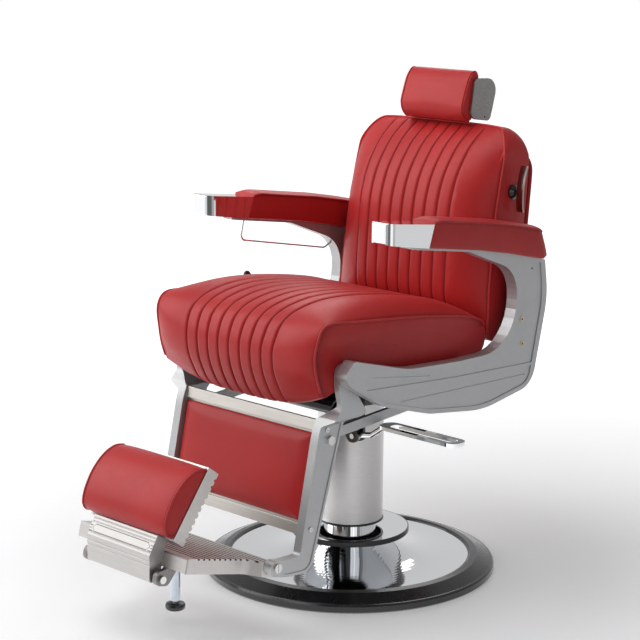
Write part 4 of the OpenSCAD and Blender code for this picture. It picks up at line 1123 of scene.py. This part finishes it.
# %% Calf pad
calf = skin("calf_upholstery", leaned(full, calf_lean, calf_top))
pinned = np.ones(full.shape[:2])
pinned[3:-3, 2:-4] = 0
swell = stuff(calf, pinned.ravel(), 2.0, 2.0)
upholster(calf, "leg_rest", "calf_board")
print("calf pad swelled by", round(swell, 1), "mm")

# %% [markdown]
# ## Foot pad
# The flip-over rest carries a thick half-round pad: one sheet of leather wrapped over foam from
# edge to edge of its plate, and a flat leather cheek at each end, joined by piping. The cheek is
# the end of the skin.

# %% Foot pad shape
flip_tilt, flip_foot = math.radians(53.95), np.array([-635.0, 221.0])
flip_thick, plate_half = 33.0, 136.0
foot_half = plate_half - 2.5
pad_side = [(6, 1.5), (1, 20), (12, 37), (40, 48), (80, 52), (120, 44.5), (150, 26), (164, 1.5)]
pad_over, pad_under = 60, 10


def tilt_flip(p):
    """Points (x, along, off) of the flip plate, where it stands."""
    return leaned(p, -flip_tilt, flip_foot)


side = curve(pad_side, pad_over)
along_pad = np.concatenate([[-1, -0.985, -0.97, -0.95, -0.9, -0.82], np.linspace(-0.7, 0.7, 18),
                            [0.82, 0.9, 0.95, 0.97, 0.985, 1]])
u = np.abs(along_pad)[:, None]
ring_y = 84 + (side[:, 0] - 84) * (1 + 0.035 * (1 - u**4)) * 0.985
ring_z = flip_thick + side[:, 1] * (0.93 + 0.06 * (1 - u**6))
under = np.broadcast_to(np.linspace(158, 12, pad_under), (len(u), pad_under))
ring_y = np.hstack([ring_y, under])
ring_z = np.hstack([ring_z, np.full(under.shape, flip_thick + 0.4)])
ring_x = np.broadcast_to(along_pad[:, None] * foot_half, ring_y.shape)
grid = np.stack([ring_x, ring_y, ring_z], axis=-1)
full = side_panels(grid, (84, flip_thick + 18), 1.5, lambda z: foot_half)
print("foot pad", full.shape)

# %% Foot pad
foot = skin("foot_upholstery", tilt_flip(full))
pinned = np.zeros(full.shape[:2])
pinned[:, pad_over - 2:] = 1
pinned[:, :2] = 1
pinned[:panel + 1] = pinned[-panel - 1:] = 1
swell = stuff(foot, pinned.ravel(), 3.0)
# painted shadow lines beside the piping at both cheeks
rim = np.zeros(full.shape[:2])
draw_rim_shadow(rim, (1 - np.abs(along_pad)) * plate_half, 1, pad_over - 1)
mark(foot, seam=rim)
upholster(foot, "flip_rest", "foot_pad")
for name, ring in (("foot_piping_right", grid[0]), ("foot_piping_left", grid[-1])):
    piping(name, tilt_flip(evenly(ring[1:pad_over], 70)), 2.3, "flip_rest")
print("foot pad swelled by", round(swell, 1), "mm")

# %% [markdown]
# ## Headrest
# The headrest's pad is a short roll that hooks over its housing. It could be a plain box cushion,
# but the real one is one sheet wrapped from the lip in front over the top to the rear, so its side
# view is drawn as a line and carried across. Close to each side plate it steps in a little, and
# its piping runs round it there.

# %% Headrest shape
head_at, head_half, head_pipe = np.array([322.0, 1082.0]), 100.0, 0.94
head_side = [(-31, -50), (-37, -51), (-46, -49), (-55, -41), (-62, -29), (-63.5, -16), (-61, -4),
             (-56, 11), (-50, 28), (-43, 45), (-36, 56), (-27, 64.5), (-17, 66.5), (-9.5, 62),
             (-8.5, 54)]
head_rear = [(-12, 49), (-20, 48.6), (-30.5, 48.6), (-30.5, 34), (-30.5, 18), (-30.5, 2),
             (-30.5, -14), (-30.5, -34)]
head_over = 64


def to_head(p):
    """Moves points (x, y, z) given from the headrest's pivot to where it is."""
    return p + [0, head_at[0], head_at[1]]


side = curve(head_side, head_over)
core = np.array([-30.0, 10.0])
end_places = np.array([0.8, 0.87, 0.905, 0.925, 0.94, 0.955, 0.97, 0.985, 0.995, 1])
u = np.concatenate([-end_places[::-1], np.linspace(-0.7, 0.7, 15), end_places])
size = np.interp(np.abs(u), [0, 0.8, 0.9, 0.94, 0.97, 0.99, 1],
                 [1.0, 1.0, 0.99, 0.962, 0.945, 0.92, 0.88])
ring = core + (side - core) * size[:, None, None]
ring = np.concatenate([ring, np.broadcast_to(head_rear, (len(u), len(head_rear), 2))], axis=1)
x = np.broadcast_to(u[:, None, None] * head_half, (*ring.shape[:2], 1))
grid = np.concatenate([x, ring], axis=-1)
print("headrest", grid.shape)

# %% Headrest
head = skin("headrest_upholstery", to_head(grid))
pinned = np.zeros(grid.shape[:2])
pinned[:, head_over - 2:] = 1
pinned[:, :2] = 1
pinned[np.abs(u) > 0.9] = 0.75
swell = stuff(head, pinned.ravel(), 2.5)
# painted shade on the pad beside its piping
pipe_shade = np.exp(-((np.abs(u) - head_pipe) / 0.012)**2)[:, None]
mark(head, seam=np.broadcast_to(pipe_shade, grid.shape[:2]))
upholster(head, "headrest", "headrest_pad")
loop = evenly(core + (side[1:-1] - core) * 0.975, 80)
for name, sign in (("head_piping_right", -1), ("head_piping_left", 1)):
    line = np.insert(loop, 0, sign * head_pipe * head_half, axis=1)
    piping(name, to_head(line), 1.9, "headrest")
print("headrest swelled by", round(swell, 1), "mm")
